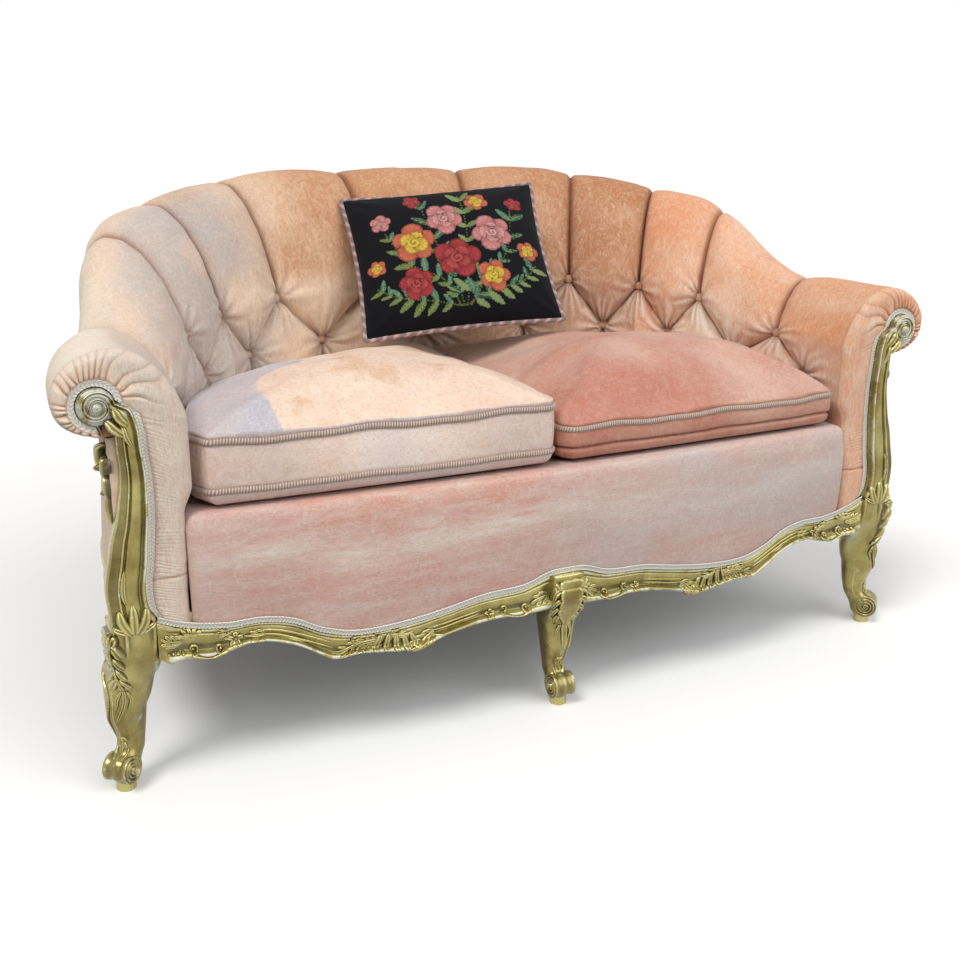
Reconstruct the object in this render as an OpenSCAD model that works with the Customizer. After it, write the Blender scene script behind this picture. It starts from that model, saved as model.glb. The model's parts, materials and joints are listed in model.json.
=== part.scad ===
// Tub-backed cabriole sofa with a carved gilt frame, a channelled and tufted back,
// two loose seat cushions and a throw pillow. Millimetres, +Z up, front towards -Y.

/* [Tub] */
// Inside width between the arms at the front, measured at the tufts
tub_w = 1170; // [1050:10:1300]
// Inside depth from the arm fronts to the tufts of the back
tub_d = 542; // [490:5:600]
// Height of the arms at the front
arm_h = 646; // [620:2:680]
// Height of the back at its middle
back_h = 837; // [790:1:900]
// Height of the tufts on the arms
arm_tuft_z = 545; // [525:1:560]
// Height of the tufts on the back
back_tuft_z = 628; // [600:1:660]
// Swell of each channel beyond its seams
channel_swell = 27; // [10:1:34]
// Swell left where the channels roll over the top
roll_swell = 9; // [2:1:14]

/* [Rolls] */
// How far the top of the arm roll stands outside the tufts
arm_roll_out = 82; // [70:1:95]
// How far the top of the back roll stands behind the tufts
back_roll_out = 118; // [100:1:140]
// Outward radius of the rolls
roll_r = 69; // [60:1:80]
// Upward radius of the arm roll
arm_roll_rz = 55; // [48:1:62]
// Upward radius of the back roll
back_roll_rz = 67; // [58:1:78]

/* [Frame] */
// How far the frame stands outside the tufts of the tub at each side
frame_side = 83; // [78:1:88]
// How far the frame stands behind the tufts of the back
frame_back = 110; // [100:1:120]
// How far the middles of the front feet stand outside the frame
feet_side = 29; // [24:1:34]
// Height of the leg tops, where the arm posts stand
leg_h = 262; // [250:1:275]
// Thickness of the show rail at the front
rail_t = 34; // [28:1:40]
// Forward bow of the front rail at its middle
rail_bow = 35; // [0:1:50]
// Lowest height of the front rail
rail_low = 152; // [140:1:160]
// Thickness of the side and back rails
side_rail_t = 30; // [24:1:36]
// Underside of the side and back rails
side_rail_low = 190; // [180:1:198]
// Radius of the dowels
dowel_r = 4; // [3:0.5:5]
// Length of the dowels
dowel_l = 36; // [28:1:44]

/* [Seat] */
// Height of the sprung platform at its front
deck_h = 405; // [395:1:415]
// Backward slope of the platform in degrees
deck_rake = 4; // [2:0.5:5]
// Thickness of the platform's padding
deck_t = 62; // [50:1:70]
// Forward bulge of the upholstered front border
border_swell = 9; // [4:1:14]
// Number of seat springs from side to side
spring_cols = 6; // [4:2:6]
// Number of seat springs from front to back
spring_rows = 3; // [2:1:3]
// Radius of a seat spring at its ends
spring_r = 42; // [34:1:48]
// Width of the webbing
web_w = 50; // [40:1:60]

/* [Cushions] */
// Least gap between a cushion and the channels beside it
cushion_gap = 3.6; // [3.5:0.1:6]
// Height of the left cushion's upper seam above the platform
left_seam_h = 92; // [80:1:100]
// Height of the right cushion's upper seam at its front
right_seam_h = 52; // [44:1:70]
// Height of the cushions' crowns above the platform
crown_h = 170; // [156:1:174]
// Radius of the rope trims
rope_r = 4; // [3:0.5:5]

/* [Pillow] */
// Width of the throw pillow
pillow_w = 366; // [330:2:380]
// Height of the throw pillow along its face
pillow_h = 304; // [280:2:320]
// Thickness of the throw pillow at its middle
pillow_t = 104; // [80:1:120]
// Radius of the pillow's edge cord
cord_r = 4; // [3:0.5:5]

/* [Hidden] */

gilt = [0.55, 0.46, 0.2];
beech = [0.78, 0.62, 0.42];
velvet = [0.83, 0.63, 0.54];
pale_velvet = [0.9, 0.8, 0.72];
braid = [0.72, 0.66, 0.58];
canvas = [0.72, 0.62, 0.45];
steel = [0.6, 0.6, 0.62];
black_cloth = [0.08, 0.08, 0.09];

// Clearances and the overrun of cuts
fit_gap = 0.3;
over = 1;
body_gap = 0.6;
tiny = 0.001;

// Outside size of the frame and place of the front feet
frame_w = tub_w + 2 * frame_side;
frame_d = tub_d + frame_back;
feet_x = frame_w / 2 + feet_side;
corner_turn = -45;

// Levels along the depth, from the line of the front feet
arm_front_y = -12;
rail_end_y = -20;
centre_leg_in = 14;
centre_leg_y = rail_end_y - rail_bow + centre_leg_in;
post_face_y = -38;
post_t = 26;
pad_t = 30;
pad_depth = 75;
pad_low_z = deck_h - pad_depth;
roll_sweep = 165;
sheet_t = 2.5;
// Squareness of the tub's and the frame's plan ovals
tub_square = 2.5;
frame_square = 4;
// Quarter-turn angles of the seams, from the arm front to the middle of the back
seam_shares = [0.155, 0.37, 0.533, 0.711, 0.926];
seam_turns = [for (k = seam_shares) 90 * k];
last_seam = len(seam_turns) - 1;
half_edges = concat([0], seam_turns, [across(seam_turns[last_seam])]);
mid_turns = [for (i = [0:last_seam + 1]) (half_edges[i] + half_edges[i + 1]) / 2];
arm_end_turn = seam_turns[2];
post_turn = 31;
// Share of the inside face's height at which the lower tufts sit
tuft_share = 0.7;
// Turn over which a channel swells from its seam
channel_turn = 7.5;

function mix(a, b, k) = a + (b - a) * k;
function clamp01(k) = min(max(k, 0), 1);
function ease(k) = let (c = clamp01(k)) c * c * (3 - 2 * c);
function signed_pow(v, p) = sign(v) * pow(abs(v), p);
// Turn of the same place on the other side, and the turn counted from the nearer arm
function across(turn) = 180 - turn;
function fold(turn) = min(turn, across(turn));
function flip(list) = [for (i = [len(list) - 1:-1:0]) list[i]];
function ones(list) = [for (v = list) 1];
function mean(list) =
    [for (k = [0:len(list[0]) - 1]) let (row = [for (p = list) p[k]]) row * ones(row) / len(list)];

// Smooth value at place x of a curve through [place, value] pairs
function curve(table, x) =
    let (n = len(table), i = max([for (k = [0:n - 2]) table[k][0] <= x ? k : 0]),
        a = table[max(i - 1, 0)], b = table[i], c = table[i + 1], d = table[min(i + 2, n - 1)],
        k = clamp01((x - b[0]) / (c[0] - b[0])),
        mb = (c[1] - a[1]) / max(c[0] - a[0], tiny) * (c[0] - b[0]),
        mc = (d[1] - b[1]) / max(d[0] - b[0], tiny) * (c[0] - b[0]))
    (2 * k ^ 3 - 3 * k ^ 2 + 1) * b[1] + (k ^ 3 - 2 * k ^ 2 + k) * mb
        + (3 * k ^ 2 - 2 * k ^ 3) * c[1] + (k ^ 3 - k ^ 2) * mc;

// Faces turned so that they look outwards, whichever way the rings ran
function outward(points, faces) =
    let (parts = [for (f = faces) points[f[0]] * cross(points[f[1]], points[f[2]])])
    parts * ones(parts) > 0 ? [for (f = faces) flip(f)] : faces;

function side_faces(m, n, loop) =
    [for (i = [0:m - (loop ? 1 : 2)], j = [0:n - 1])
        let (a = i * n + j, b = i * n + (j + 1) % n, up = ((i + 1) % m - i) * n)
        each [[a, b, b + up], [a, b + up, a + up]]];

// Cap over a ring whose first `front` points face its remaining ones, as on a curved band
function band_cap(first, front, n) =
    let (back = n - front)
    [for (i = [0:front - 2])
        let (k = floor(i * (back - 1) / (front - 1)), k2 = floor((i + 1) * (back - 1) / (front - 1)))
        each [[first + i, first + i + 1, first + n - 1 - k],
            if (k2 > k) [first + i + 1, first + n - 1 - k2, first + n - 1 - k]]];

// Closed skin through rings of equally many points, with domed or flat fan caps
module skin(rings, loop = false) {
    m = len(rings);
    n = len(rings[0]);
    points = concat([for (r = rings) each r], loop ? [] : [mean(rings[0]), mean(rings[m - 1])]);
    caps = loop ? [] : [for (j = [0:n - 1]) each
        [[m * n, (j + 1) % n, j], [m * n + 1, (m - 1) * n + j, (m - 1) * n + (j + 1) % n]]];
    polyhedron(points, outward(points, concat(side_faces(m, n, loop), caps)), convexity = 8);
}

// Closed skin whose rings are curved bands
module band_skin(rings, front) {
    m = len(rings);
    n = len(rings[0]);
    points = [for (r = rings) each r];
    caps = concat([for (f = band_cap(0, front, n)) flip(f)], band_cap((m - 1) * n, front, n));
    polyhedron(points, outward(points, concat(side_faces(m, n, false), caps)), convexity = 8);
}

// Plan ovals of the tub and of the frame, from the right front (0) to the left front (180)
function oval(half_w, d, square, turn) =
    [half_w * signed_pow(cos(turn), 2 / square), arm_front_y + d * pow(abs(sin(turn)), 2 / square)];
function tub_xy(turn, out) = oval(tub_w / 2 + out, tub_d + out, tub_square, turn);
function frame_xy(turn, out) = oval(frame_w / 2 + out, frame_d + out, frame_square, turn);
// Turn at which a plan oval reaches a given depth beside the arm
function tub_turn(y, out) = asin(pow((y - arm_front_y) / (tub_d + out), tub_square / 2));
function frame_turn(y, out) = asin(pow((y - arm_front_y) / (frame_d + out), frame_square / 2));

// Sweep of the tub's top line from the level arms up to the back
arm_level_turn = 14;
swoop_over_turn = 24;
swoop_share = 0.6;
climb_turn = 20;
climb_over_turn = 58;
function rise(turn) = swoop_share * ease((fold(turn) - arm_level_turn) / swoop_over_turn)
    + (1 - swoop_share) * ease((fold(turn) - climb_turn) / climb_over_turn);
function tuft_z(turn) = mix(arm_tuft_z, back_tuft_z, rise(turn));
function crest_z(turn) = mix(arm_h, back_h, rise(turn)) - roll_swell;
function roll_out(turn) = mix(arm_roll_out, back_roll_out, rise(turn));
function roll_rz(turn) = mix(arm_roll_rz, back_roll_rz, rise(turn));
function roll_z(turn) = crest_z(turn) - roll_rz(turn);
// The roll is full at the arm front and at the back and drawn in between them: [turn, share]
roll_shares = [[0, 1], [10, 0.82], [17, 0.45], [24, 0.36], [33, 0.6], [48, 0.9], [66, 1], [90, 1]];
function roll_reach_out(turn) = roll_r * curve(roll_shares, fold(turn));

// Section of the upholstery, as distance outside the tufts and height: the inside face up to
// the tufts (s 0 to 1), the lean up to the crest (1 to 2) and the roll down to its tack line (2 to 3)
lean_square = 1.3;
function section(turn, s) =
    let (g = s - 1, a = 90 - roll_sweep * (s - 2))
    s < 1 ? [0, mix(pad_low_z, tuft_z(turn), s)]
    : s < 2 ? [roll_out(turn) * pow(g, lean_square), mix(tuft_z(turn), crest_z(turn), sin(90 * g))]
    : [roll_out(turn) + roll_reach_out(turn) * cos(a), roll_z(turn) + roll_rz(turn) * sin(a)];

// Turn of the sewn line between a seam and a middle of a channel at section place s
function sewn_turn(seam, middle, s) = mix(middle, seam, clamp01((s - tuft_share) / (1 - tuft_share)));
function turns_off_seam(turn, s) =
    let (q = fold(turn))
    min([for (i = [0:last_seam]) each [
        abs(q - sewn_turn(seam_turns[i], mid_turns[i], s)),
        abs(q - sewn_turn(seam_turns[i], mid_turns[i + 1], s))]]);
swell_start_share = 0.36;
swell_span_share = 0.2;
front_swell_share = 0.5;
front_swell_turn = 18;
function swell_depth(turn) = channel_swell * mix(front_swell_share, 1, ease(fold(turn) / front_swell_turn));
// Section places at which the swell turns into the roll's and dies out at the tack line
roll_start_share = 1.2;
tack_fade_share = 1 / 3;
function swell(turn, s) =
    let (full = mix(swell_depth(turn), roll_swell, ease(s - roll_start_share)),
        depth = full * ease((3 - s) / tack_fade_share), k = clamp01(turns_off_seam(turn, s) / channel_turn))
    depth * sqrt(1 - (1 - k) ^ 2) * ease((s - swell_start_share) / swell_span_share);

step_s = 0.01;
function section_normal(turn, s) =
    let (low = min(s, 3 - step_s), t = section(turn, low + step_s) - section(turn, max(low - step_s, 0)))
    [-t[1], t[0]] / norm(t);
function padded_section(turn, s) = section(turn, s) + section_normal(turn, s) * swell(turn, s);
function pad_point(turn, s) =
    let (p = padded_section(turn, s), xy = tub_xy(turn, p[0]))
    [xy[0], xy[1], p[1]];
function tub_point(turn, out, z) = let (xy = tub_xy(turn, out)) [xy[0], xy[1], z];
function frame_point(turn, out, z) = let (xy = frame_xy(turn, out)) [xy[0], xy[1], z];

// Timber inside the rolls
board_share = 0.22;
board_top = 5;
function board_half(turn) = board_share * roll_reach_out(turn);
function board_low(turn) = roll_z(turn) - roll_rz(turn) * sin(roll_sweep - 90);
function board_high(turn) = roll_z(turn) + board_top;
function board_ring(turn, t_gap) = [
    tub_point(turn, roll_out(turn) - board_half(turn) + t_gap, board_low(turn) + t_gap),
    tub_point(turn, roll_out(turn) + board_half(turn) - t_gap, board_low(turn) + t_gap),
    tub_point(turn, roll_out(turn) + board_half(turn) - t_gap, board_high(turn) - t_gap),
    tub_point(turn, roll_out(turn) - board_half(turn) + t_gap, board_high(turn) - t_gap)];

s_steps = [0, 0.36, 0.5, 0.6, 0.7, 0.8, 0.9, 1, 1.2, 1.4, 1.6, 1.8, 2, 2.33, 2.67, 3];
function pad_ring(turn) = concat(
    [for (s = s_steps) pad_point(turn, s)],
    [tub_point(turn, roll_out(turn) + board_half(turn), board_low(turn)),
        tub_point(turn, roll_out(turn) + board_half(turn), board_high(turn)),
        tub_point(turn, roll_out(turn) - board_half(turn), board_high(turn)),
        tub_point(turn, roll_out(turn) - board_half(turn), board_low(turn)),
        tub_point(turn, pad_t, board_low(turn)),
        tub_point(turn, pad_t, pad_low_z)]);
// Turns of the stations between two seams, counted from the arm front
station_shares = [0, 0.14, 0.36, 0.5, 0.64, 0.86];
half_stations = [for (i = [0:last_seam + 1], k = station_shares) mix(half_edges[i], half_edges[i + 1], k)];
all_stations = concat(
    [for (t = half_stations) if (t <= 90) t],
    flip([for (t = half_stations) if (t < 90) across(t)]));
function stations(from, to) = [for (t = all_stations) if (t > from - step_s && t < to + step_s) t];

// Legs: half sizes at the ankle, set-back of the ankle behind the toe, and the top block
ankle_r = 19.5;
ankle_back = 23.5;
block_in = 28.5;
block_w = 61;
block_t = 65;
block_y = -2.5;
block_low = 200;
pad_h = 14;
pad_r = 14;
toe_r = 21;
toe_w = 38;
toe_out = 3;
eye_r = 9;
eye_w = 44;
ring_n = 12;
ring_square = 3;
centre_scale = 0.94;
// Cabriole outline in shares: height, set-out over the toe, half depth, half width, move in, turn
leg_shares = [
    [0, -0.13, 0.75, 0.68, 0, 1], [0.028, -0.13, 1.03, 0.88, 0, 1], [0.097, -0.13, 1.3, 0.97, 0, 1],
    [0.144, -0.4, 1.3, 0.97, 0, 1], [0.174, -0.8, 1.04, 0.95, 0, 1], [0.23, -1, 1, 0.92, 0, 1],
    [0.307, -0.98, 1.2, 1.02, 0, 1], [0.412, -0.72, 1.55, 1.2, 0, 1], [0.508, -0.49, 1.8, 1.42, 0, 1],
    [0.588, -0.4, 1.88, 1.58, 0, 1], [0.67, -0.26, 1.85, 1.66, 0.35, 0.7], [0.75, -0.13, 1.7, 1.6, 0.8, 0.3],
    [0.82, 0, 1.58, 1.5, 1, 0], [0.894, 0, 1.5, 1.45, 1, 0]];

// Reach of the centre leg and of the back's roll, which place the middle over the origin
knee_reach = max([for (k = leg_shares)
    k[1] * ankle_back + k[2] * ankle_r * centre_scale * pow(cos(180 / ring_n), 2 / ring_square)]);
roll_reach = max([for (t = all_stations, q = s_steps) pad_point(t, q)[1]]);
mid_y = (centre_leg_y - knee_reach + roll_reach) / 2;

// Lays a piece out in the row's frame, and mirrors the right one for the left
module laid(side = 1) {
    translate([0, -mid_y, 0])
        mirror([side < 0 ? 1 : 0, 0, 0])
            children();
}

function leg_ring(k, h, turn, scale_k) =
    let (out = k[1] * ankle_back, now = turn * k[5] + (1 - k[5]) * round(turn / 90) * 90)
    [for (i = [0:ring_n - 1])
        let (a = 360 * (i + 0.5) / ring_n,
            u = k[2] * ankle_r * scale_k * signed_pow(cos(a), 2 / ring_square),
            v = k[3] * ankle_r * scale_k * signed_pow(sin(a), 2 / ring_square))
        [out * cos(turn) + u * cos(now) - v * sin(now) - k[4] * block_in * (turn == corner_turn ? 1 : 0),
            out * sin(turn) + u * sin(now) + v * cos(now), mix(pad_h, h, k[0])]];

// One carved petal: a swelling drop from a thin root to a full tip
petal_n = 5;
module petal(root, tip, r) {
    hull() {
        translate(root)
            sphere(r / 2, $fn = petal_n);
        translate(tip)
            sphere(r, $fn = petal_n);
    }
}

// Leg with a scrolled toe, its toe pointing along turn
module cabriole(h, turn, scale_k = 1, top_share = 1) {
    skin([for (k = leg_shares) if (k[0] <= top_share) leg_ring(k, h, turn, scale_k)]);
    translate([toe_out * cos(turn), toe_out * sin(turn), pad_h + toe_r])
        rotate([90, 0, turn]) {
            cylinder(r = toe_r, h = toe_w * scale_k, center = true, $fn = 16);
            cylinder(r = eye_r, h = eye_w * scale_k, center = true, $fn = 10);
        }
}

// Knee carving: a leaf cap over pairs of leaves that shorten down the ridge
leaf_r = 7;
leaf_shares = [[0.93, 0.34], [0.83, 0.5], [0.74, 0.46], [0.66, 0.36]];
leaf_reach = 52;
leaf_thin_share = 0.6;
leaf_root_share = 1 / 3;
module knee_leaves(h, face) {
    for (k = leaf_shares, side = [-1, 1])
        petal([face[0] - side * leaf_root_share * leaf_r, face[1], k[0] * h - leaf_reach * k[1] / 2],
            [face[0] + side * leaf_reach * k[1], face[1] + leaf_r / 2, k[0] * h],
            leaf_r * mix(leaf_thin_share, 1, k[1]));
}

block_x = feet_x - block_in;
rail_end_x = block_x - block_w / 2;
module front_leg(side) {
    color(gilt)
        laid(side)
            difference() {
                union() {
                    translate([feet_x, 0, 0])
                        cabriole(leg_h, corner_turn);
                    translate([block_x - block_w / 2, block_y - block_t / 2, block_low])
                        cube([block_w, block_t, leg_h - block_low]);
                    knee_leaves(leg_h, [block_x + block_w / 4, block_y - block_t / 2]);
                }
                dowel_holes();
                translate([0, block_y + block_t / 2, side_rail_low - fit_gap])
                    cube([frame_w, frame_d, leg_h]);
            }
}

// Centre leg, between the two halves of the front rail
centre_w = 50;
module centre_front_leg() {
    color(gilt)
        laid()
            difference() {
                union() {
                    translate([0, centre_leg_y, 0])
                        cabriole(centre_top, -90, centre_scale);
                    translate([-centre_w / 2, rail_face_y(0), rail_low + rail_t])
                        cube([centre_w, rail_t, centre_top - rail_low - rail_t]);
                    translate([-centre_w / 2, rail_face_y(0) + rebate, rail_low + rail_t])
                        cube([centre_w, rail_t - rebate, leg_h - rail_low - rail_t]);
                    knee_leaves(centre_top, [0, centre_leg_y - knee_reach + leaf_r]);
                }
                dowel_holes();
                for (x = [centre_w / 2, -centre_w / 2 - frame_w])
                    translate([x, -frame_d, rail_low_z(centre_w / 2) - fit_gap])
                        cube([frame_w, 2 * frame_d, leg_h]);
                translate([-frame_w / 2, rail_face_y(0) + rail_t, web_low - 2 * sheet_t])
                    cube([frame_w, frame_d, leg_h]);
            }
}

// Rear legs, cut off level under the rails they carry
rear_scale = 0.9;
rear_inset = 16;
rear_top_share = 0.82;
function outward_turn(turn) =
    let (a = frame_xy(turn - 1, 0), b = frame_xy(turn + 1, 0)) atan2(a[0] - b[0], b[1] - a[1]);
module rear_leg(turn) {
    c = frame_xy(turn, -rear_inset);
    color(gilt)
        laid()
            translate([c[0], c[1], 0])
                rotate([0, 0, outward_turn(turn)])
                    cabriole(pad_h + (side_rail_low - pad_h) / rear_top_share, 0, rear_scale, rear_top_share);
}
module rear_leg_left() { rear_leg(across(post_turn)); }
module rear_leg_right() { rear_leg(post_turn); }
module centre_rear_leg() { rear_leg(90); }

// Turned pads under the scrolled toes
pad_back = 3;
function set_back(c, turn) = [c[0] - pad_back * cos(turn), c[1] - pad_back * sin(turn)];
module foot_pads() {
    places = concat(
        [set_back([feet_x, 0], corner_turn), set_back([-feet_x, 0], across(corner_turn))],
        [set_back([0, centre_leg_y], -90)],
        [for (t = [post_turn, 90, across(post_turn)]) set_back(frame_xy(t, -rear_inset), outward_turn(t))]);
    color(gilt)
        laid()
            for (p = places)
                translate([p[0], p[1], 0])
                    cylinder(r = pad_r, h = pad_h);
}

// Arm posts: centreline and half width in shares of the post's height and of its widest half width
volute_in = 7;
volute_drop = 72;
volute_x = feet_x - volute_in;
volute_z = arm_h - volute_drop;
post_drop = 14;
post_top_z = volute_z - post_drop;
post_half = 31;
post_lean = 45;
// [share of height, set-in of the centreline, half width]
post_shares = [
    [0, 0, 1], [0.065, -0.09, 0.85], [0.19, -0.13, 0.84], [0.31, 0.01, 0.81], [0.4, 0.1, 0.77],
    [0.52, 0.25, 0.66], [0.7, 0.37, 0.54], [0.84, 0.33, 0.5], [0.93, 0.3, 0.48], [1, 0.21, 0.44]];
post_n = len(post_shares);
volute_band = 7;
volute_tip = 3;
volute_start_r = 15.5;
volute_end_r = 7;
volute_start_turn = 196;
volute_end_turn = -190;
function post_line(i) = [block_x - post_shares[i][1] * post_lean, mix(leg_h, post_top_z, post_shares[i][0])];
function volute_point(a) =
    let (k = (volute_start_turn - a) / (volute_start_turn - volute_end_turn),
        r = mix(volute_start_r, volute_end_r, k))
    [volute_x + r * cos(a), volute_z + r * sin(a)];
volute_n = 12;
post_path = concat(
    [for (i = [0:post_n - 1]) post_line(i)],
    [for (i = [1:volute_n]) volute_point(mix(volute_start_turn, volute_end_turn, i / volute_n))]);
post_halves = concat(
    [for (k = post_shares) k[2] * post_half],
    [for (i = [1:volute_n]) mix(volute_band, volute_tip, i / volute_n)]);
// Moulded face of the post: shares of the half width and depths below its highest bead
post_face_shares = [
    [-1, 0.34], [-0.86, 0], [-0.68, 0.3], [-0.2, 0.12], [0.25, 0.3], [0.36, 0.08], [0.5, 0.3], [1, 0.6]];
face_depth = 13;
function path_side(path, i) =
    let (t = i > 0 ? path[min(i + 1, len(path) - 1)] - path[i - 1] : [0, 1]) [t[1], -t[0]] / norm(t);
function post_ring(i) =
    let (p = post_path[i], n = path_side(post_path, i), h = post_halves[i])
    concat(
        [for (k = post_face_shares)
            [p[0] + n[0] * k[0] * h, post_face_y + face_depth * k[1], p[1] + n[1] * k[0] * h]],
        [[p[0] + n[0] * h, post_face_y + post_t, p[1] + n[1] * h],
            [p[0] - n[0] * h, post_face_y + post_t, p[1] - n[1] * h]]);
husk_r = 6;
husk_l = 26;
husk_shares = [0.9, 0.73, 0.57, 0.4];
// Carving at the foot of the post, in the throat of its volute and on the volute's eye
module post_petals() {
    face_y = post_face_y + face_depth / 2;
    low = post_line(post_n - 2);
    high = post_line(post_n - 1);
    for (k = [-1, 0, 1])
        petal([block_x + k * husk_l / 3, face_y, leg_h + husk_l],
            [block_x + k * husk_l / 2, face_y, leg_h + husk_r], husk_r);
    for (k = [0:len(husk_shares) - 1])
        petal([low[0], face_y, low[1] - husk_l + k * husk_r],
            [high[0] + k * husk_r / 2, face_y, high[1] - k * husk_r / 2], husk_r * husk_shares[k]);
    petal([volute_x, face_y + face_depth / 2, volute_z], [volute_x, face_y, volute_z], husk_r);
}
module arm_post(side) {
    color(gilt)
        laid(side)
            difference() {
                union() {
                    skin([for (i = [0:len(post_path) - 1]) post_ring(i)]);
                    translate([volute_x, post_face_y + face_depth / 2, volute_z])
                        rotate([-90, 0, 0])
                            cylinder(r = volute_start_r, h = post_t - face_depth / 2, $fn = 20);
                    post_petals();
                }
                dowel_holes();
            }
}

// Front rail: heights of its edges in shares of the rail's length and of its wave
rail_wave = 40;
low_shares = [
    [0, 0.62], [0.05, 0.62], [0.12, 0.6], [0.2, 0.65], [0.31, 0.42], [0.4, 0], [0.45, 0.03], [0.54, 0.22],
    [0.605, 0.15], [0.635, 0.4], [0.7, 1], [0.785, 1.35], [0.88, 1], [0.95, 1.05], [1, 0.9]];
top_shares = [
    [0, 2.15], [0.05, 2.1], [0.12, 1.75], [0.23, 1.63], [0.33, 1.33], [0.44, 1.08], [0.55, 1.03],
    [0.63, 1.35], [0.7, 1.9], [0.77, 2.12], [0.85, 2.1], [0.94, 2.33], [1, 2.7]];
function rail_low_z(x) = rail_low + rail_wave * curve(low_shares, abs(x) / rail_end_x);
function rail_top_z(x) = rail_low + rail_wave * curve(top_shares, abs(x) / rail_end_x);
function rail_face_y(x) = rail_end_y - rail_bow * (1 - (x / rail_end_x) ^ 2);
// Moulded face of the rail: depth behind the face in shares of the bead, height share
bead = 6;
rebate = 10;
rail_shares = [[0.3, 0], [-0.9, 0.1], [-0.9, 0.2], [0.5, 0.34], [0.1, 0.6], [0, 0.9], [0.4, 1]];
function rail_ring(x) =
    let (y = rail_face_y(x), low = rail_low_z(x), high = rail_top_z(x))
    concat(
        [for (k = rail_shares) [x, y + bead * k[0], mix(low, high, k[1])]],
        [[x, y + rebate, high], [x, y + rebate, leg_h], [x, y + rail_t, leg_h], [x, y + rail_t, low + bead]]);
rail_n = 18;
rail_xs = [for (i = [0:rail_n]) mix(centre_w / 2, rail_end_x, i / rail_n)];
rail_tops = [for (x = rail_xs) [x, rail_top_z(x)]];
centre_top = rail_tops[0][1];
// Carving along the rail's lower edge: place, size and lean of each petal, in shares
carving_shares = [
    [0.08, 1, -0.4], [0.14, 1, 0.6], [0.22, 1, -0.3], [0.4, 1.1, -0.5], [0.46, 1.2, -0.1],
    [0.54, 1.1, 0.5], [0.83, 1.1, -0.2], [0.89, 1, 0.4]];
carving_r = 7;
carving_l = 22;
module rail_petals() {
    for (k = carving_shares)
        let (x = k[0] * rail_end_x, y = rail_face_y(k[0] * rail_end_x), z = rail_low_z(k[0] * rail_end_x))
        petal([x - k[2] * carving_l, y, z + carving_l], [x, y, z + carving_r], carving_r * k[1]);
}
module front_rail(side) {
    color(gilt)
        laid(side)
            difference() {
                union() {
                    skin([for (x = rail_xs) rail_ring(x)]);
                    rail_petals();
                }
                dowel_holes();
            }
}

// Dowels: up into the posts, and sideways from the front rail into the legs
post_dowel_y = post_face_y + post_t / 2 + dowel_r;
end_dowel_y = rail_end_y + rail_t / 2 + dowel_r;
centre_dowel_y = rail_face_y(0) + rail_t / 2 + dowel_r;
dowel_zs = [leg_h - 5 * dowel_r, leg_h - 9 * dowel_r];
module corner_dowels(r, l, facets) {
    translate([block_x, post_dowel_y, leg_h])
        cylinder(r = r, h = l, center = true, $fn = facets);
    for (z = dowel_zs)
        translate([rail_end_x, end_dowel_y, z])
            rotate([0, 90, 0])
                cylinder(r = r, h = l, center = true, $fn = facets);
}
module centre_dowels(r, l, facets) {
    for (z = dowel_zs, side = [-1, 1])
        translate([side * centre_w / 2, centre_dowel_y, z])
            rotate([0, 90, 0])
                cylinder(r = r, h = l, center = true, $fn = facets);
}
dowel_facets = 14;
module dowel_holes() {
    corner_dowels(dowel_r + fit_gap, dowel_l + 2 * fit_gap, dowel_facets);
    centre_dowels(dowel_r + fit_gap, dowel_l + 2 * fit_gap, dowel_facets);
}
module joint_dowels() {
    color(beech) {
        for (side = [-1, 1])
            laid(side)
                corner_dowels(dowel_r, dowel_l, 64);
        laid()
            centre_dowels(dowel_r, dowel_l, 64);
    }
}

// Side and back rails, curved to the frame's plan, with a moulded lower edge
rail_bead = 5;
function side_rail_ring(turn) = [
    frame_point(turn, -side_rail_t, side_rail_low),
    frame_point(turn, -side_rail_t, leg_h),
    frame_point(turn, rail_bead, leg_h),
    frame_point(turn, rail_bead, leg_h - 2 * rail_bead),
    frame_point(turn, rail_bead / 4, leg_h - 4 * rail_bead),
    frame_point(turn, 0, side_rail_low + 5 * rail_bead),
    frame_point(turn, rail_bead, side_rail_low + 2 * rail_bead),
    frame_point(turn, 0, side_rail_low)];
function steps(from, to, n) = [for (i = [0:n]) mix(from, to, i / n)];
side_start = frame_turn(block_y + block_t / 2 - over, 0);
side_stations = steps(side_start, post_turn, 9);
back_stations = steps(post_turn, across(post_turn), 18);
module side_rail(side) {
    color(gilt)
        laid(side)
            difference() {
                skin([for (t = side_stations) side_rail_ring(t)]);
                translate([0, block_y + block_t / 2 + fit_gap - frame_d, 0])
                    cube([frame_w, frame_d, 2 * leg_h]);
            }
}
module back_rail() {
    color(gilt)
        laid()
            skin([for (t = back_stations) side_rail_ring(t)]);
}

// Outside covers: ruled from the rails up to the tack line under the roll
function tub_match(turn) =
    let (q = asin(pow(sin(fold(turn)), tub_square / frame_square)))
    turn > 90 ? across(q) : q;
belly = 5;
cover_gap = 3;
function cover_point(turn, k, out) =
    let (m = tub_match(turn), low = frame_xy(turn, out + belly * sin(180 * k)),
        high = tub_xy(m, roll_out(m) + board_half(m) - 2 * sheet_t + out))
    [mix(low[0], high[0], k), mix(low[1], high[1], k), mix(leg_h + fit_gap, board_low(m) - cover_gap, k)];
cover_steps = [0, 0.33, 0.67, 1];
function cover_ring(turn) = concat(
    [for (k = cover_steps) cover_point(turn, k, 0)],
    [for (k = flip(cover_steps)) cover_point(turn, k, sheet_t)]);
module outside_arm(side) {
    color(velvet)
        laid(side)
            band_skin([for (t = steps(0, post_turn, 9)) cover_ring(t)], len(cover_steps));
}
module outside_back() {
    color(velvet)
        laid()
            band_skin([for (t = back_stations) cover_ring(t)], len(cover_steps));
}

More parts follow.
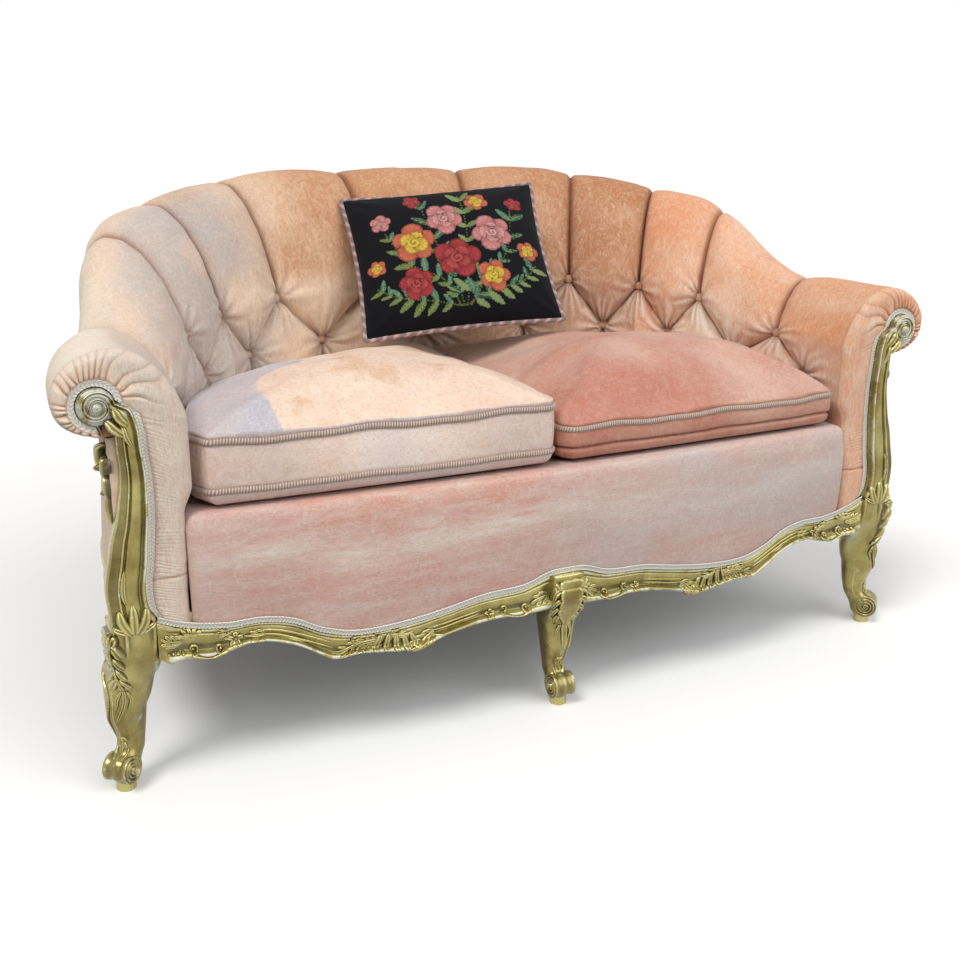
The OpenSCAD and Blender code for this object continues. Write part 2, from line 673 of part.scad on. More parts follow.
// Rear posts: carved uprights standing proud of the outside cover above the rear legs
rear_post_h = 150;
rear_post_top = leg_h + rear_post_h;
rear_post_r = 14;
// [share of height, half width share, depth share]
rear_post_shares = [
    [0, 0.9, 0.7], [0.2, 0.75, 0.6], [0.45, 0.55, 0.5], [0.62, 0.8, 0.8], [0.72, 0.6, 0.6],
    [0.82, 1, 1], [0.93, 1, 0.9], [1, 0.4, 0.5]];
post_outline_shares = [[-1, 0], [-0.75, 0.65], [0, 1], [0.75, 0.65], [1, 0]];
function cover_share(turn, z) = (z - leg_h) / (board_low(tub_match(turn)) - leg_h);
function rear_post_ring(k, turn) =
    let (z = mix(leg_h + fit_gap, rear_post_top, k[0]), a = outward_turn(turn),
        p = cover_point(turn, cover_share(turn, z), sheet_t))
    [for (q = post_outline_shares)
        let (u = q[0] * k[1] * rear_post_r, v = q[1] * k[2] * rear_post_r + 3 * fit_gap)
        [p[0] + v * cos(a) - u * sin(a), p[1] + v * sin(a) + u * cos(a), z]];
module rear_post(turn) {
    color(gilt)
        laid()
            skin([for (k = rear_post_shares) rear_post_ring(k, turn)]);
}
module rear_post_left() { rear_post(across(post_turn)); }
module rear_post_right() { rear_post(post_turn); }

// Hidden frame
stump_w = 50;
module arm_stumps() {
    color(beech)
        for (side = [-1, 1])
            laid(side)
                translate([tub_w / 2 + pad_t + fit_gap, arm_front_y, leg_h])
                    cube([stump_w, block_y + block_t / 2 - arm_front_y, board_low(0) - leg_h]);
}
// The boards meet at the station of the pads nearest the rear posts
function nearer(a, b, to) = abs(a - to) < abs(b - to) ? a : b;
function nearest(list, to, i = 0) =
    i == len(list) - 1 ? list[i] : nearer(list[i], nearest(list, to, i + 1), to);
board_split = nearest(half_stations, tub_match(post_turn));
module arm_board(side) {
    color(beech)
        laid(side)
            skin([for (t = stations(0, board_split)) board_ring(t, fit_gap)]);
}
module top_rail() {
    color(beech)
        laid()
            skin([for (t = stations(board_split, across(board_split))) board_ring(t, fit_gap)]);
}
upright_in_turn = 66;
upright_turns = [post_turn, upright_in_turn, across(upright_in_turn), across(post_turn)];
upright_half = 22;
upright_t = 26;
upright_gap = 5;
function upright_ring(turn, k) =
    let (m = tub_match(turn), a = outward_turn(turn), inside = upright_t / 2 + upright_gap,
        low = frame_xy(turn, -inside),
        high = tub_xy(m, roll_out(m) + board_half(m) - 2 * sheet_t - inside),
        p = mix(low, high, k), span = atan(upright_half / tub_d),
        top = min(board_low(m - span), board_low(m + span)) - fit_gap,
        z = mix(leg_h, top, k))
    [for (q = [[-1, -1], [1, -1], [1, 1], [-1, 1]])
        let (u = q[0] * upright_half, v = q[1] * upright_t / 2)
        [p[0] + v * cos(a) - u * sin(a), p[1] + v * sin(a) + u * cos(a), z]];
module back_uprights() {
    color(beech)
        laid()
            for (t = upright_turns)
                skin([upright_ring(t, 0), upright_ring(t, 1)]);
}
tack_rise = 2;
tack_low = pad_low_z + tack_rise;
tack_h = 40;
tack_t = 33;
tack_gap = 1.8;
tack_start = tub_turn(block_y + block_t / 2 + fit_gap, pad_t);
function tack_ring(turn) = [
    tub_point(turn, pad_t + tack_gap, tack_low), tub_point(turn, pad_t + tack_t, tack_low),
    tub_point(turn, pad_t + tack_t, tack_low + tack_h), tub_point(turn, pad_t + tack_gap, tack_low + tack_h)];
module tacking_rail() {
    color(beech)
        laid()
            skin([for (t = steps(tack_start, across(tack_start), 26)) tack_ring(t)]);
}
stretcher_w = 44;
stretcher_h = 46;
web_low = 203;
web_t = 2;
stretcher_low = web_low + 2 * web_t + 3 * fit_gap;
module seat_stretcher() {
    y = rail_face_y(0) + rail_t;
    color(beech)
        laid()
            translate([-stretcher_w / 2, y, stretcher_low])
                cube([stretcher_w, arm_front_y + frame_d - side_rail_t - y - fit_gap, stretcher_h]);
}
block_reach = 66;
spring_in = 185;
module corner_blocks() {
    x = rail_end_x - fit_gap;
    far_x = x - block_reach;
    y = rail_face_y(x) + rail_t + fit_gap;
    color(beech)
        for (side = [-1, 1])
            laid(side)
                translate([0, 0, stretcher_low])
                    linear_extrude(stretcher_h)
                        polygon([[x, y], [x, y + block_reach],
                            [far_x, rail_face_y(far_x) + rail_t + fit_gap]]);
}

// Inside line of the frame, seen from above
inner_stations = steps(side_start, across(side_start), 44);
function inner_line(inset) = concat(
    [for (t = inner_stations) frame_xy(t, -side_rail_t - inset)],
    [for (k = steps(1, -1, 10))
        let (x = -k * (rail_end_x - inset)) [x, rail_face_y(x) + rail_t + inset]]);
module inner_sheet(z, t, inset) {
    translate([0, 0, z])
        linear_extrude(t)
            polygon(inner_line(inset));
}
spring_reach = tub_w / 2 - spring_in;
spring_near_share = 0.3;
half_xs = steps(spring_near_share * spring_reach, spring_reach, spring_cols / 2 - 1);
long_xs = concat([for (x = flip(half_xs)) -x], half_xs);
spring_depth_shares = [0.155, 0.53];
spring_ys = steps(spring_depth_shares[0] * frame_d, spring_depth_shares[1] * frame_d, spring_rows - 1);
cross_ys = concat(spring_ys, [2 * spring_ys[spring_rows - 1] - spring_ys[spring_rows - 2]]);
module long_webbing() {
    color(canvas)
        laid()
            intersection() {
                inner_sheet(web_low, web_t, 4 * fit_gap);
                for (x = long_xs)
                    translate([x - web_w / 2, -frame_d, web_low - over])
                        cube([web_w, 2 * frame_d, web_t + 2 * over]);
            }
}
module cross_webbing() {
    color(canvas)
        laid()
            intersection() {
                inner_sheet(web_low + web_t + fit_gap, web_t, 4 * fit_gap);
                for (y = cross_ys)
                    translate([-frame_w, y - web_w / 2, web_low])
                        cube([2 * frame_w, web_w, 3 * web_t]);
            }
}
module dust_cover() {
    color(black_cloth)
        laid()
            inner_sheet(web_low - sheet_t, web_t, 4 * fit_gap);
}

// Seat springs: waisted sleeves between the webbing and the canvas
canvas_drop = 17;
canvas_z = deck_h - deck_t - canvas_drop;
spring_low = web_low + 2 * web_t + 2 * fit_gap;
spring_high = canvas_z - fit_gap;
wire = 3;
waist_share = 0.62;
spring_steps = 8;
function spring_radius(k) = spring_r * mix(waist_share, 1, (2 * k - 1) ^ 2);
function spring_side(in) =
    [for (k = steps(0, 1, spring_steps)) [spring_radius(k) - in, mix(spring_low, spring_high, k)]];
module seat_spring() {
    rotate_extrude($fn = 64)
        polygon(concat(spring_side(0), flip(spring_side(wire))));
}
module seat_springs() {
    color(steel)
        laid()
            for (x = long_xs, y = spring_ys)
                translate([x, y, 0])
                    seat_spring();
}

// Platform, its canvas and the upholstered border along the front
border_depth = 75;
platform_gap = 1.2;
function deck_z(y) = deck_h - (y - border_depth) * tan(deck_rake);
function platform_front(x) = rail_face_y(x) + border_depth + fit_gap;
platform_start = tub_turn(platform_front(tub_w / 2), 0);
platform_front_share = 0.9;
platform_front_x = platform_front_share * tub_w / 2;
function platform_line(inset) = concat(
    [for (t = steps(platform_start, across(platform_start), 40)) tub_xy(t, -inset)],
    [for (x = steps(-platform_front_x, platform_front_x, 6)) [x, platform_front(x)]]);
module seat_platform() {
    color(velvet)
        laid()
            skin([[for (p = platform_line(platform_gap)) [p[0], p[1], canvas_z + 2 * web_t]],
                [for (p = platform_line(platform_gap)) [p[0], p[1], deck_z(p[1]) - fit_gap]]]);
}
module spring_canvas() {
    color(canvas)
        laid()
            translate([0, 0, canvas_z])
                linear_extrude(web_t)
                    polygon(platform_line(2 * platform_gap));
}
border_end_x = tub_w / 2 - platform_gap;
border_half_xs = concat([for (x = rail_xs) if (x < border_end_x - over) x], [border_end_x]);
border_xs = concat([for (x = flip(border_half_xs)) -x], border_half_xs);
border_dip = 2;
// [swell share, height share] up the front of the border
border_shares = [[-0.1, 0], [0.6, 0.2], [1, 0.5], [0.85, 0.8], [0.1, 0.96]];
function border_ring(x) =
    let (y = rail_face_y(x), low = lookup(abs(x), rail_tops) + fit_gap)
    concat(
        [[x, y + rebate - fit_gap, low]],
        [for (k = border_shares) [x, y - border_swell * k[0], mix(low, deck_h, k[1])]],
        [[x, y + border_swell, deck_z(y) - border_dip],
            [x, y + border_depth, deck_z(y + border_depth) - 2 * fit_gap],
            [x, y + border_depth, leg_h + fit_gap],
            [x, y + rebate - fit_gap, leg_h + fit_gap]]);
module seat_border() {
    color(velvet)
        laid()
            skin([for (x = border_xs) border_ring(x)]);
}

// Channelled and tufted pads of the arms and the back
module inside_arm(side) {
    color(velvet)
        laid(side)
            band_skin([for (t = stations(0, arm_end_turn)) pad_ring(t)], len(s_steps));
}
module inside_back() {
    color(velvet)
        laid()
            band_skin([for (t = stations(arm_end_turn, across(arm_end_turn))) pad_ring(t)], len(s_steps));
}
button_r = 7;
button_h = 4;
button_out = 14;
module tuft_button(turn, s) {
    p = section(turn, s);
    a = tub_xy(turn - 1, 0);
    b = tub_xy(turn + 1, 0);
    way = [b[1] - a[1], a[0] - b[0]] / norm(b - a);
    c = tub_xy(turn, p[0]) - way * button_out;
    translate([c[0], c[1], p[1]])
        rotate([0, 90, atan2(way[1], way[0])])
            cylinder(r = button_r, h = button_h, center = true, $fn = 32);
}
module tuft_buttons() {
    color(velvet)
        laid() {
            for (t = seam_turns) {
                tuft_button(t, 1);
                tuft_button(across(t), 1);
            }
            for (t = mid_turns)
                tuft_button(t, tuft_share);
            for (i = [0:last_seam])
                tuft_button(across(mid_turns[i]), tuft_share);
        }
}

// Arm fronts: a padded band between the edge of the arm and the carved post
band_gap = 1;
volute_gap = 26;
front_s = [for (s = s_steps) if (s > 0) s];
stem_out = 19;
// [share of the stem's set-out, share of its height]
stem_shares = [[1, 0], [1, 0.45], [0.74, 0.9]];
stem_n = len(stem_shares);
function front_outer(i) =
    i < stem_n
    ? [tub_w / 2 + stem_out * stem_shares[i][0], mix(leg_h + fit_gap, pad_low_z, stem_shares[i][1])]
    : let (p = padded_section(0, front_s[i - stem_n])) [tub_w / 2 + p[0], p[1]];
function post_edge(i) = post_path[i] - path_side(post_path, i) * (post_halves[i] + band_gap);
function volute_edge(a) = [volute_x + volute_gap * cos(a), volute_z + volute_gap * sin(a)];
edge_start_turn = 172;
edge_top_turn = 100;
edge_end_turn = -85;
function front_inner(i) =
    let (s = i < post_n ? 0 : front_s[i - stem_n])
    i < post_n ? post_edge(i)
    : s < 2 ? volute_edge(mix(edge_start_turn, edge_top_turn, s - 1))
    : volute_edge(mix(edge_top_turn, edge_end_turn, s - 2));
front_n = len(front_s) + stem_n;
band_depth = 14;
// [share from the post's side to the arm's side, share of the depth in front of the arm's end]
front_shares = [[0, 0.7], [0.4, 1], [0.75, 0.93], [1, 0.2]];
function front_ring(i) =
    let (a = front_inner(i), b = front_outer(i))
    concat(
        [for (k = front_shares) let (p = mix(a, b, k[0])) [p[0], arm_front_y - band_depth * k[1], p[1]]],
        [[b[0], arm_front_y, b[1]], [a[0], arm_front_y, a[1]]]);
module arm_front(side) {
    color(velvet)
        laid(side)
            skin([for (i = [0:front_n - 1]) front_ring(i)]);
}

// Woven gimp along the posts and along the foot of the border
gimp_w = 10;
gimp_t = 2.5;
gimp_gap = 0.6;
function gimp_ring(i) =
    let (a = front_inner(i), b = front_outer(i), k = min(gimp_w / norm(b - a), front_shares[1][0]),
        deep = mix(front_shares[0][1], front_shares[1][1], k / front_shares[1][0]), p = mix(a, b, k),
        ya = arm_front_y - band_depth * front_shares[0][1] - gimp_gap,
        yb = arm_front_y - band_depth * deep - gimp_gap)
    [[a[0], ya, a[1]], [p[0], yb, p[1]], [p[0], yb - gimp_t, p[1]], [a[0], ya - gimp_t, a[1]]];
module post_gimp(side) {
    color(braid)
        laid(side)
            skin([for (i = [0:front_n - 1]) gimp_ring(i)]);
}
gimp_lean_share = 0.2;
function border_gimp_ring(x) =
    let (y = rail_face_y(x) - border_swell * gimp_lean_share, lean = gimp_w * gimp_lean_share,
        z = lookup(abs(x), rail_tops) + 2 * fit_gap)
    [[x, y, z], [x, y - lean, z + gimp_w], [x, y - lean - gimp_t, z + gimp_w], [x, y - gimp_t, z]];
module border_gimp() {
    color(braid)
        laid()
            skin([for (x = border_xs) border_gimp_ring(x)]);
}

// Seat cushions: outline from above, then rings from the underside to the crown
cushion_corner_y = -20;
cushion_bow = 16;
centre_gap = 0.4;
back_seam_h = 122;
low_seam_h = 22;
groove = 7;
// How far the middle of a rope lies inside the seam's line
rope_in = 0.8;
function cushion_side(turn) = swell_depth(turn) + cushion_gap;
cushion_half = tub_w / 2 - cushion_side(0);
centre_x = centre_gap + rope_r - rope_in;
cushion_turns = [3, 8, 14, 21, 28, 35, 42, 50, 58, 66, 74, 82];
function cushion_front(x) = cushion_corner_y - cushion_bow * (1 - (x / cushion_half) ^ 2);
cushion_back_y = tub_xy(90, -cushion_side(90))[1];
cushion_front_shares = [0.03, 0.15, 0.32, 0.5, 0.68, 0.85, 0.97];
cushion_centre_shares = [0.975, 0.94, 0.75, 0.55, 0.35, 0.15, 0.05];
cushion_line = concat(
    [for (k = cushion_front_shares) [k * cushion_half, cushion_front(k * cushion_half)]],
    [for (t = cushion_turns) tub_xy(t, -cushion_side(t))],
    [[3 * centre_x, cushion_back_y]],
    [for (k = cushion_centre_shares)
        [centre_x, mix(cushion_front(0), cushion_back_y, k)]]);
function line_side(line, i) =
    let (n = len(line), t = line[(i + 1) % n] - line[(i + n - 1) % n]) [t[1], -t[0]] / norm(t);
function line_out(line, i, out) = line[i] + out * line_side(line, i);
function seam_h(front_h, y) =
    mix(front_h, back_seam_h, clamp01((y - cushion_corner_y) / (tub_d - cushion_side(90))));
// [inset, share of the way from the lower to the upper seam, rise in grooves]
side_shares = [
    [2.2, -1, 0], [0.2, -0.5, 0], [0, 0, -1], [1, 0, 0], [0, 0, 1],
    [-0.35, 0.5, 0], [0, 1, -1], [1, 1, 0], [0.3, 1, 1]];
crown_shares = [0.92, 0.7, 0.36];
function side_ring(front_h, k, line) = [for (i = [0:len(line) - 1])
    let (p = line_out(line, i, -k[0] * groove), up = seam_h(front_h, p[1]),
        h = k[1] < 0 ? low_seam_h * (1 + k[1]) : mix(low_seam_h, up, k[1]))
    [max(p[0], centre_gap), p[1], deck_z(p[1]) + body_gap + h + k[2] * groove]];
function crown_ring(front_h, q, line) =
    let (c = mean(line))
    [for (p = line)
        let (r = mix(c, p, q), up = seam_h(front_h, r[1]) + groove)
        [max(r[0], centre_gap), r[1], deck_z(r[1]) + body_gap + mix(crown_h, up, q ^ 2)]];
module cushion_body(front_h) {
    skin(concat(
        [for (k = side_shares) side_ring(front_h, k, cushion_line)],
        [for (q = crown_shares) crown_ring(front_h, q, cushion_line)]));
}
rope_sides = 4;
function rope_ring(line, i, h, r) =
    let (p = line[i], out = line_side(line, i))
    [for (j = [0:rope_sides - 1])
        let (a = 360 * j / rope_sides)
        [p[0] + out[0] * r * cos(a), p[1] + out[1] * r * cos(a), deck_z(p[1]) + body_gap + h + r * sin(a)]];
module rope(front_h, share) {
    skin([for (i = [0:len(rope_line) - 1])
        let (h = mix(low_seam_h, seam_h(front_h, cushion_line[i][1]), share))
        rope_ring(rope_line, i, h, rope_r)], loop = true);
}
rope_line = [for (i = [0:len(cushion_line) - 1])
    let (p = line_out(cushion_line, i, -rope_in)) [max(p[0], rope_r + centre_gap), p[1]]];
module seat_cushion_left() {
    color(pale_velvet)
        laid(-1)
            cushion_body(left_seam_h);
}
module seat_cushion_right() {
    color(velvet)
        laid()
            cushion_body(right_seam_h);
}
module cushion_rope_left() {
    color(braid)
        laid(-1) {
            rope(left_seam_h, 0);
            rope(left_seam_h, 1);
        }
}
module cushion_rope_right() {
    color(braid)
        laid()
            rope(right_seam_h, 1);
}

// Throw pillow leaning on the back
pillow_side = 10;
pillow_in = 164.8;
pillow_rise = 109;
pillow_z = deck_h + crown_h + pillow_rise;
// How far it moves back with each unit that it stands higher against the leaning back
pillow_back_share = 0.55;
pillow_c = [pillow_side, tub_d - pillow_in + pillow_back_share * (pillow_z - back_tuft_z), pillow_z];
pillow_yaw_turn = -17;
pillow_lean_turn = 40;
pillow_roll_turn = 5.5;
pillow_n = 28;
pull_share = 0.045;
pillow_qs = [0.3, 0.6, 0.83, 0.96];
function pillow_line(out) = [for (i = [0:pillow_n - 1])
    let (a = 360 * i / pillow_n, m = max(abs(cos(a)), abs(sin(a))),
        corner = (1 / m - 1) / (sqrt(2) - 1), k = (1 - pull_share * (1 - corner)) / m)
    [(pillow_w / 2 * k + out) * cos(a), (pillow_h / 2 * k + out) * sin(a)]];
pillow_square = 2.4;
function pillow_half(q) = pillow_t / 2 * sqrt(1 - q ^ pillow_square);
function pillow_ring(q, face) = [for (p = pillow_line(-cord_r)) [p[0] * q, -face * pillow_half(q), p[1] * q]];
module pillow_laid() {
    laid()
        translate(pillow_c)
            rotate([0, 0, pillow_yaw_turn])
                rotate([-pillow_lean_turn, 0, 0])
                    rotate([0, -pillow_roll_turn, 0])
                        children();
}
module throw_pillow() {
    color(black_cloth)
        pillow_laid()
            skin(concat(
                [for (q = pillow_qs) pillow_ring(q, 1)],
                [pillow_ring(1, 1)],
                [for (q = flip(pillow_qs)) pillow_ring(q, -1)]));
}
function cord_ring(i, line) =
    let (p = line[i], out = line_side(line, i))
    [for (j = [0:rope_sides - 1])
        let (a = 360 * (j + 0.5) / rope_sides)
        [p[0] + out[0] * cord_r * cos(a), cord_r * sin(a), p[1] + out[1] * cord_r * cos(a)]];
module pillow_cord() {
    color(braid)
        pillow_laid()
            skin([for (i = [0:pillow_n - 1]) cord_ring(i, pillow_line(fit_gap))], loop = true);
}

module front_leg_left() { front_leg(-1); }
module front_leg_right() { front_leg(1); }
module arm_post_left() { arm_post(-1); }
module arm_post_right() { arm_post(1); }
module front_rail_left() { front_rail(-1); }
module front_rail_right() { front_rail(1); }
module side_rail_left() { side_rail(-1); }
module side_rail_right() { side_rail(1); }
module arm_board_left() { arm_board(-1); }
module arm_board_right() { arm_board(1); }
module inside_arm_left() { inside_arm(-1); }
module inside_arm_right() { inside_arm(1); }
module arm_front_left() { arm_front(-1); }
module arm_front_right() { arm_front(1); }
module outside_arm_left() { outside_arm(-1); }
module outside_arm_right() { outside_arm(1); }
module post_gimp_left() { post_gimp(-1); }
module post_gimp_right() { post_gimp(1); }

front_leg_left();
front_leg_right();
centre_front_leg();
rear_leg_left();
rear_leg_right();
centre_rear_leg();
foot_pads();
arm_post_left();
arm_post_right();
front_rail_left();
front_rail_right();
side_rail_left();
side_rail_right();
back_rail();
rear_post_left();
rear_post_right();
arm_stumps();
back_uprights();
arm_board_left();
arm_board_right();
top_rail();
tacking_rail();
seat_stretcher();
corner_blocks();
joint_dowels();
long_webbing();
cross_webbing();
seat_springs();
spring_canvas();
seat_platform();
seat_border();
inside_arm_left();
inside_arm_right();
inside_back();
arm_front_left();
arm_front_right();
tuft_buttons();
outside_arm_left();
outside_arm_right();
outside_back();
dust_cover();
post_gimp_left();
post_gimp_right();
border_gimp();
seat_cushion_left();
seat_cushion_right();
cushion_rope_left();
cushion_rope_right();
throw_pillow();
pillow_cord();
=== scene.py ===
import bpy, json, math
import numpy as np
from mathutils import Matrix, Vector

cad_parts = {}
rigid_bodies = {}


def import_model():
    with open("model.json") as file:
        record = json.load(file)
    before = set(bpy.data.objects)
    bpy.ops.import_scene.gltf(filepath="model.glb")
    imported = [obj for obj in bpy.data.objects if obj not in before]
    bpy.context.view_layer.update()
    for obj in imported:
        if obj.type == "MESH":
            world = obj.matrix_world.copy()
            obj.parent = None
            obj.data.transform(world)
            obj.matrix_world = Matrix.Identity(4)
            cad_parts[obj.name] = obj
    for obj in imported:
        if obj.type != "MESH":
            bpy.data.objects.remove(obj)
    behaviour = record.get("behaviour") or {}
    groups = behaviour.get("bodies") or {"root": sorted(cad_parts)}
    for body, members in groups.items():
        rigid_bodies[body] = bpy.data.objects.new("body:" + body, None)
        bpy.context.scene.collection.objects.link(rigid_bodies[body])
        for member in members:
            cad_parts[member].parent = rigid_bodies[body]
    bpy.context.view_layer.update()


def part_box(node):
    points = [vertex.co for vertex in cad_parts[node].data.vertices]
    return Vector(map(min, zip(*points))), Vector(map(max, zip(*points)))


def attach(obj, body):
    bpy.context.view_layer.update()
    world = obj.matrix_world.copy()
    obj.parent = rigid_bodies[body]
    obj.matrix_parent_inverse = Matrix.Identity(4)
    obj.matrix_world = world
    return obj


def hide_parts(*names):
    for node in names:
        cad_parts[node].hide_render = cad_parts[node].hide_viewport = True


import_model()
# Working coordinates are millimetres from the line of the front feet, as in the part's source.
MID_Y = -12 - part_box("arm_post_left")[1][1] * 1000


# Numbers and meshes
def mix(a, b, k):
    return a + (b - a) * k


def clamp(k, lo=0.0, hi=1.0):
    return np.clip(k, lo, hi)


def ease(k):
    k = clamp(k)
    return k * k * (3 - 2 * k)


def spow(v, p):
    return np.sign(v) * np.abs(v) ** p


def sind(a):
    return np.sin(np.radians(a))


def cosd(a):
    return np.cos(np.radians(a))


def unit(v):
    return v / np.maximum(np.linalg.norm(v, axis=-1, keepdims=True), 1e-9)


def bell(x, w):
    return np.exp(-(x / w) ** 2)


def points(*axes):
    return np.stack(np.broadcast_arrays(*axes), -1)


def lod(full):
    return full


def hand(side):
    return "right" if side > 0 else "left"


HASH_XYZ, HASH_SEED, HASH_LAST, HASH_RANGE = (73856093, 19349663, 83492791), 15485863, 1274126177, 100003


def vnoise(P, seed):
    """Smooth value noise from -1 to 1 at points P."""
    P = np.asarray(P, float)
    i = np.floor(P).astype(np.int64)
    f = P - i
    f = f * f * (3 - 2 * f)

    def h(*step):
        n = seed * HASH_SEED
        for k in range(3):
            n = n ^ ((i[..., k] + step[k]) * HASH_XYZ[k])
        n = (n ^ (n >> 13)) * HASH_LAST & 0x7FFFFFFF
        return (n % HASH_RANGE) / (HASH_RANGE / 2) - 1

    def along(dy, dz):
        return mix(h(0, dy, dz), h(1, dy, dz), f[..., 0])

    return mix(mix(along(0, 0), along(1, 0), f[..., 1]), mix(along(0, 1), along(1, 1), f[..., 1]), f[..., 2])


def link(name, data):
    ob = bpy.data.objects.new(name, data)
    bpy.context.scene.collection.objects.link(ob)
    return ob


def make(name, V, faces, mat, body="root", replaces=(), slot=None, uv=None, attrs=None, pad=None):
    """A mesh object from points in working millimetres and a list of face arrays."""
    V = np.asarray(V, float).reshape(-1, 3) * 0.001
    V[:, 1] -= MID_Y * 0.001
    faces = faces if isinstance(faces, list) else [faces]
    faces = [np.asarray(f, np.int32) for f in faces if len(f)]
    me = bpy.data.meshes.new(name)
    loops = np.concatenate([f.ravel() for f in faces])
    total = np.concatenate([np.full(len(f), f.shape[1], np.int32) for f in faces])
    start = np.concatenate([[0], np.cumsum(total)[:-1]]).astype(np.int32)
    me.vertices.add(len(V))
    me.vertices.foreach_set("co", V.astype(np.float32).ravel())
    me.loops.add(len(loops))
    me.loops.foreach_set("vertex_index", loops)
    me.polygons.add(len(total))
    me.polygons.foreach_set("loop_start", start)
    me.polygons.foreach_set("loop_total", total)
    me.update(calc_edges=True)
    if uv is not None:
        lay = me.uv_layers.new(name="UVMap")
        lay.data.foreach_set("uv", np.asarray(uv, np.float32).reshape(-1, 2)[loops].ravel())
    for k, a in (attrs or {}).items():
        a = np.asarray(a, np.float32)
        if a.ndim == 1 or a.shape[-1] != 3:
            me.attributes.new(k, "FLOAT", "POINT").data.foreach_set("value", a.ravel())
        else:
            rgba = np.concatenate([a.reshape(-1, 3), np.ones((len(V), 1), np.float32)], 1)
            me.attributes.new(k, "FLOAT_COLOR", "POINT").data.foreach_set("color", rgba.ravel())
    me.validate()
    me.polygons.foreach_set("use_smooth", np.ones(len(me.polygons), bool))
    ob = link(name, me)
    me.materials.append(mat)
    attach(ob, body)
    if replaces:
        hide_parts(*replaces)
    return ob


def grid_faces(m, n, wrap_u=False, wrap_v=False, flip=False, base=0):
    """Quads of an m by n grid of points, wrapped round one or both ways."""
    i = np.arange(m if wrap_u else m - 1)[:, None]
    j = np.arange(n if wrap_v else n - 1)[None, :]
    a, b = i * n + j, i * n + (j + 1) % n
    c, d = ((i + 1) % m) * n + (j + 1) % n, ((i + 1) % m) * n + j
    return np.stack([a, d, c, b] if flip else [a, b, c, d], -1).reshape(-1, 4) + base


def fan(ring, centre, flip=False):
    """Triangles from a closed ring of indices to a centre index."""
    nxt, c = np.roll(ring, -1), np.full(len(ring), centre)
    return np.stack([ring, c, nxt] if flip else [ring, nxt, c], -1)


def grid(name, P, mat, wrap_u=False, wrap_v=False, flip=False, caps=False, attrs=None, **kw):
    """A mesh object from an m by n grid of points; caps close its first and last row."""
    m, n = P.shape[:2]
    V = P.reshape(-1, 3)
    F = [grid_faces(m, n, wrap_u, wrap_v, flip)]
    if caps:
        V = np.concatenate([V, P[0].mean(0)[None], P[-1].mean(0)[None]])
        F += [fan(np.arange(n), m * n, not flip), fan(np.arange(n) + (m - 1) * n, m * n + 1, flip)]
        for k, a in (attrs or {}).items():
            a = np.asarray(a, float).reshape(m * n, -1)
            attrs[k] = np.concatenate([a, a[:1], a[-1:]]).squeeze()
    return make(name, V, F, mat, attrs=attrs, **kw)


def normals(P):
    """Unit normals of a grid of points that wraps round its second index."""
    return unit(np.cross(np.gradient(P, axis=0), np.roll(P, -1, 1) - np.roll(P, 1, 1)))


def arc_len(P):
    """Length along a polyline at each of its points."""
    return np.concatenate([[0], np.cumsum(np.linalg.norm(np.diff(P, axis=0), axis=1))])


def resample(P, step=None, n=None, closed=False):
    """Evenly spaced points along a polyline."""
    P = np.asarray(P, float)
    if closed:
        P = np.concatenate([P, P[:1]])
    L = arc_len(P)
    n = n or max(int(L[-1] / step), 3)
    q = np.linspace(0, L[-1], n + 1)[:-1] if closed else np.linspace(0, L[-1], n)
    return np.stack([np.interp(q, L, P[:, k]) for k in range(P.shape[1])], -1)


def smooth_ring(P):
    """A closed line after three rounds of averaging with its neighbours."""
    for _ in range(3):
        P = (np.roll(P, 1, 0) + 2 * P + np.roll(P, -1, 0)) / 4
    return P


def spline(P, n):
    """Catmull-Rom curve through points."""
    P = np.asarray(P, float)
    t = np.linspace(0, len(P) - 1, n)
    i = np.minimum(t.astype(int), len(P) - 2)
    f = (t - i)[:, None]
    a, b, c, d = (P[np.clip(i + k, 0, len(P) - 1)] for k in (-1, 0, 1, 2))
    return 0.5 * (2 * b + (c - a) * f + (2 * a - 5 * b + 4 * c - d) * f ** 2
                  + (3 * b - a - 3 * c + d) * f ** 3)


def curve_at(table, x):
    """Smooth value at x of a curve through [place, value] pairs, as in the part's source."""
    T = np.asarray(table, float)
    x = np.asarray(x, float)
    i = np.clip(np.searchsorted(T[:, 0], x, side="right") - 1, 0, len(T) - 2)
    a, b, c, d = T[np.maximum(i - 1, 0)], T[i], T[i + 1], T[np.minimum(i + 2, len(T) - 1)]
    w = c[..., 0] - b[..., 0]
    k = clamp((x - b[..., 0]) / w)
    mb = (c[..., 1] - a[..., 1]) / np.maximum(c[..., 0] - a[..., 0], 1e-3) * w
    mc = (d[..., 1] - b[..., 1]) / np.maximum(d[..., 0] - b[..., 0], 1e-3) * w
    start = (2 * k**3 - 3 * k**2 + 1) * b[..., 1] + (k**3 - 2 * k**2 + k) * mb
    return start + (3 * k**2 - 2 * k**3) * c[..., 1] + (k**3 - k**2) * mc


# Camera, as fitted to the picture
CAM_AT, CAM_PITCH, CAM_YAW, CAM_LENS = (-875.54, -1573.66, 929.95), 0.298833, -0.4446, 43.92


def camera():
    cam = bpy.data.cameras.new("camera")
    cam.sensor_width, cam.sensor_fit, cam.lens = 36, "HORIZONTAL", CAM_LENS
    cam.clip_start, cam.clip_end = 0.05, 60
    ob = link("camera", cam)
    x, y, z = CAM_AT
    ob.location = (x * 0.001, (y - MID_Y) * 0.001, z * 0.001)
    ob.rotation_euler = (math.pi / 2 - CAM_PITCH, 0, CAM_YAW)
    bpy.context.scene.camera = ob
    bpy.context.scene.view_settings.view_transform = "Standard"


camera()


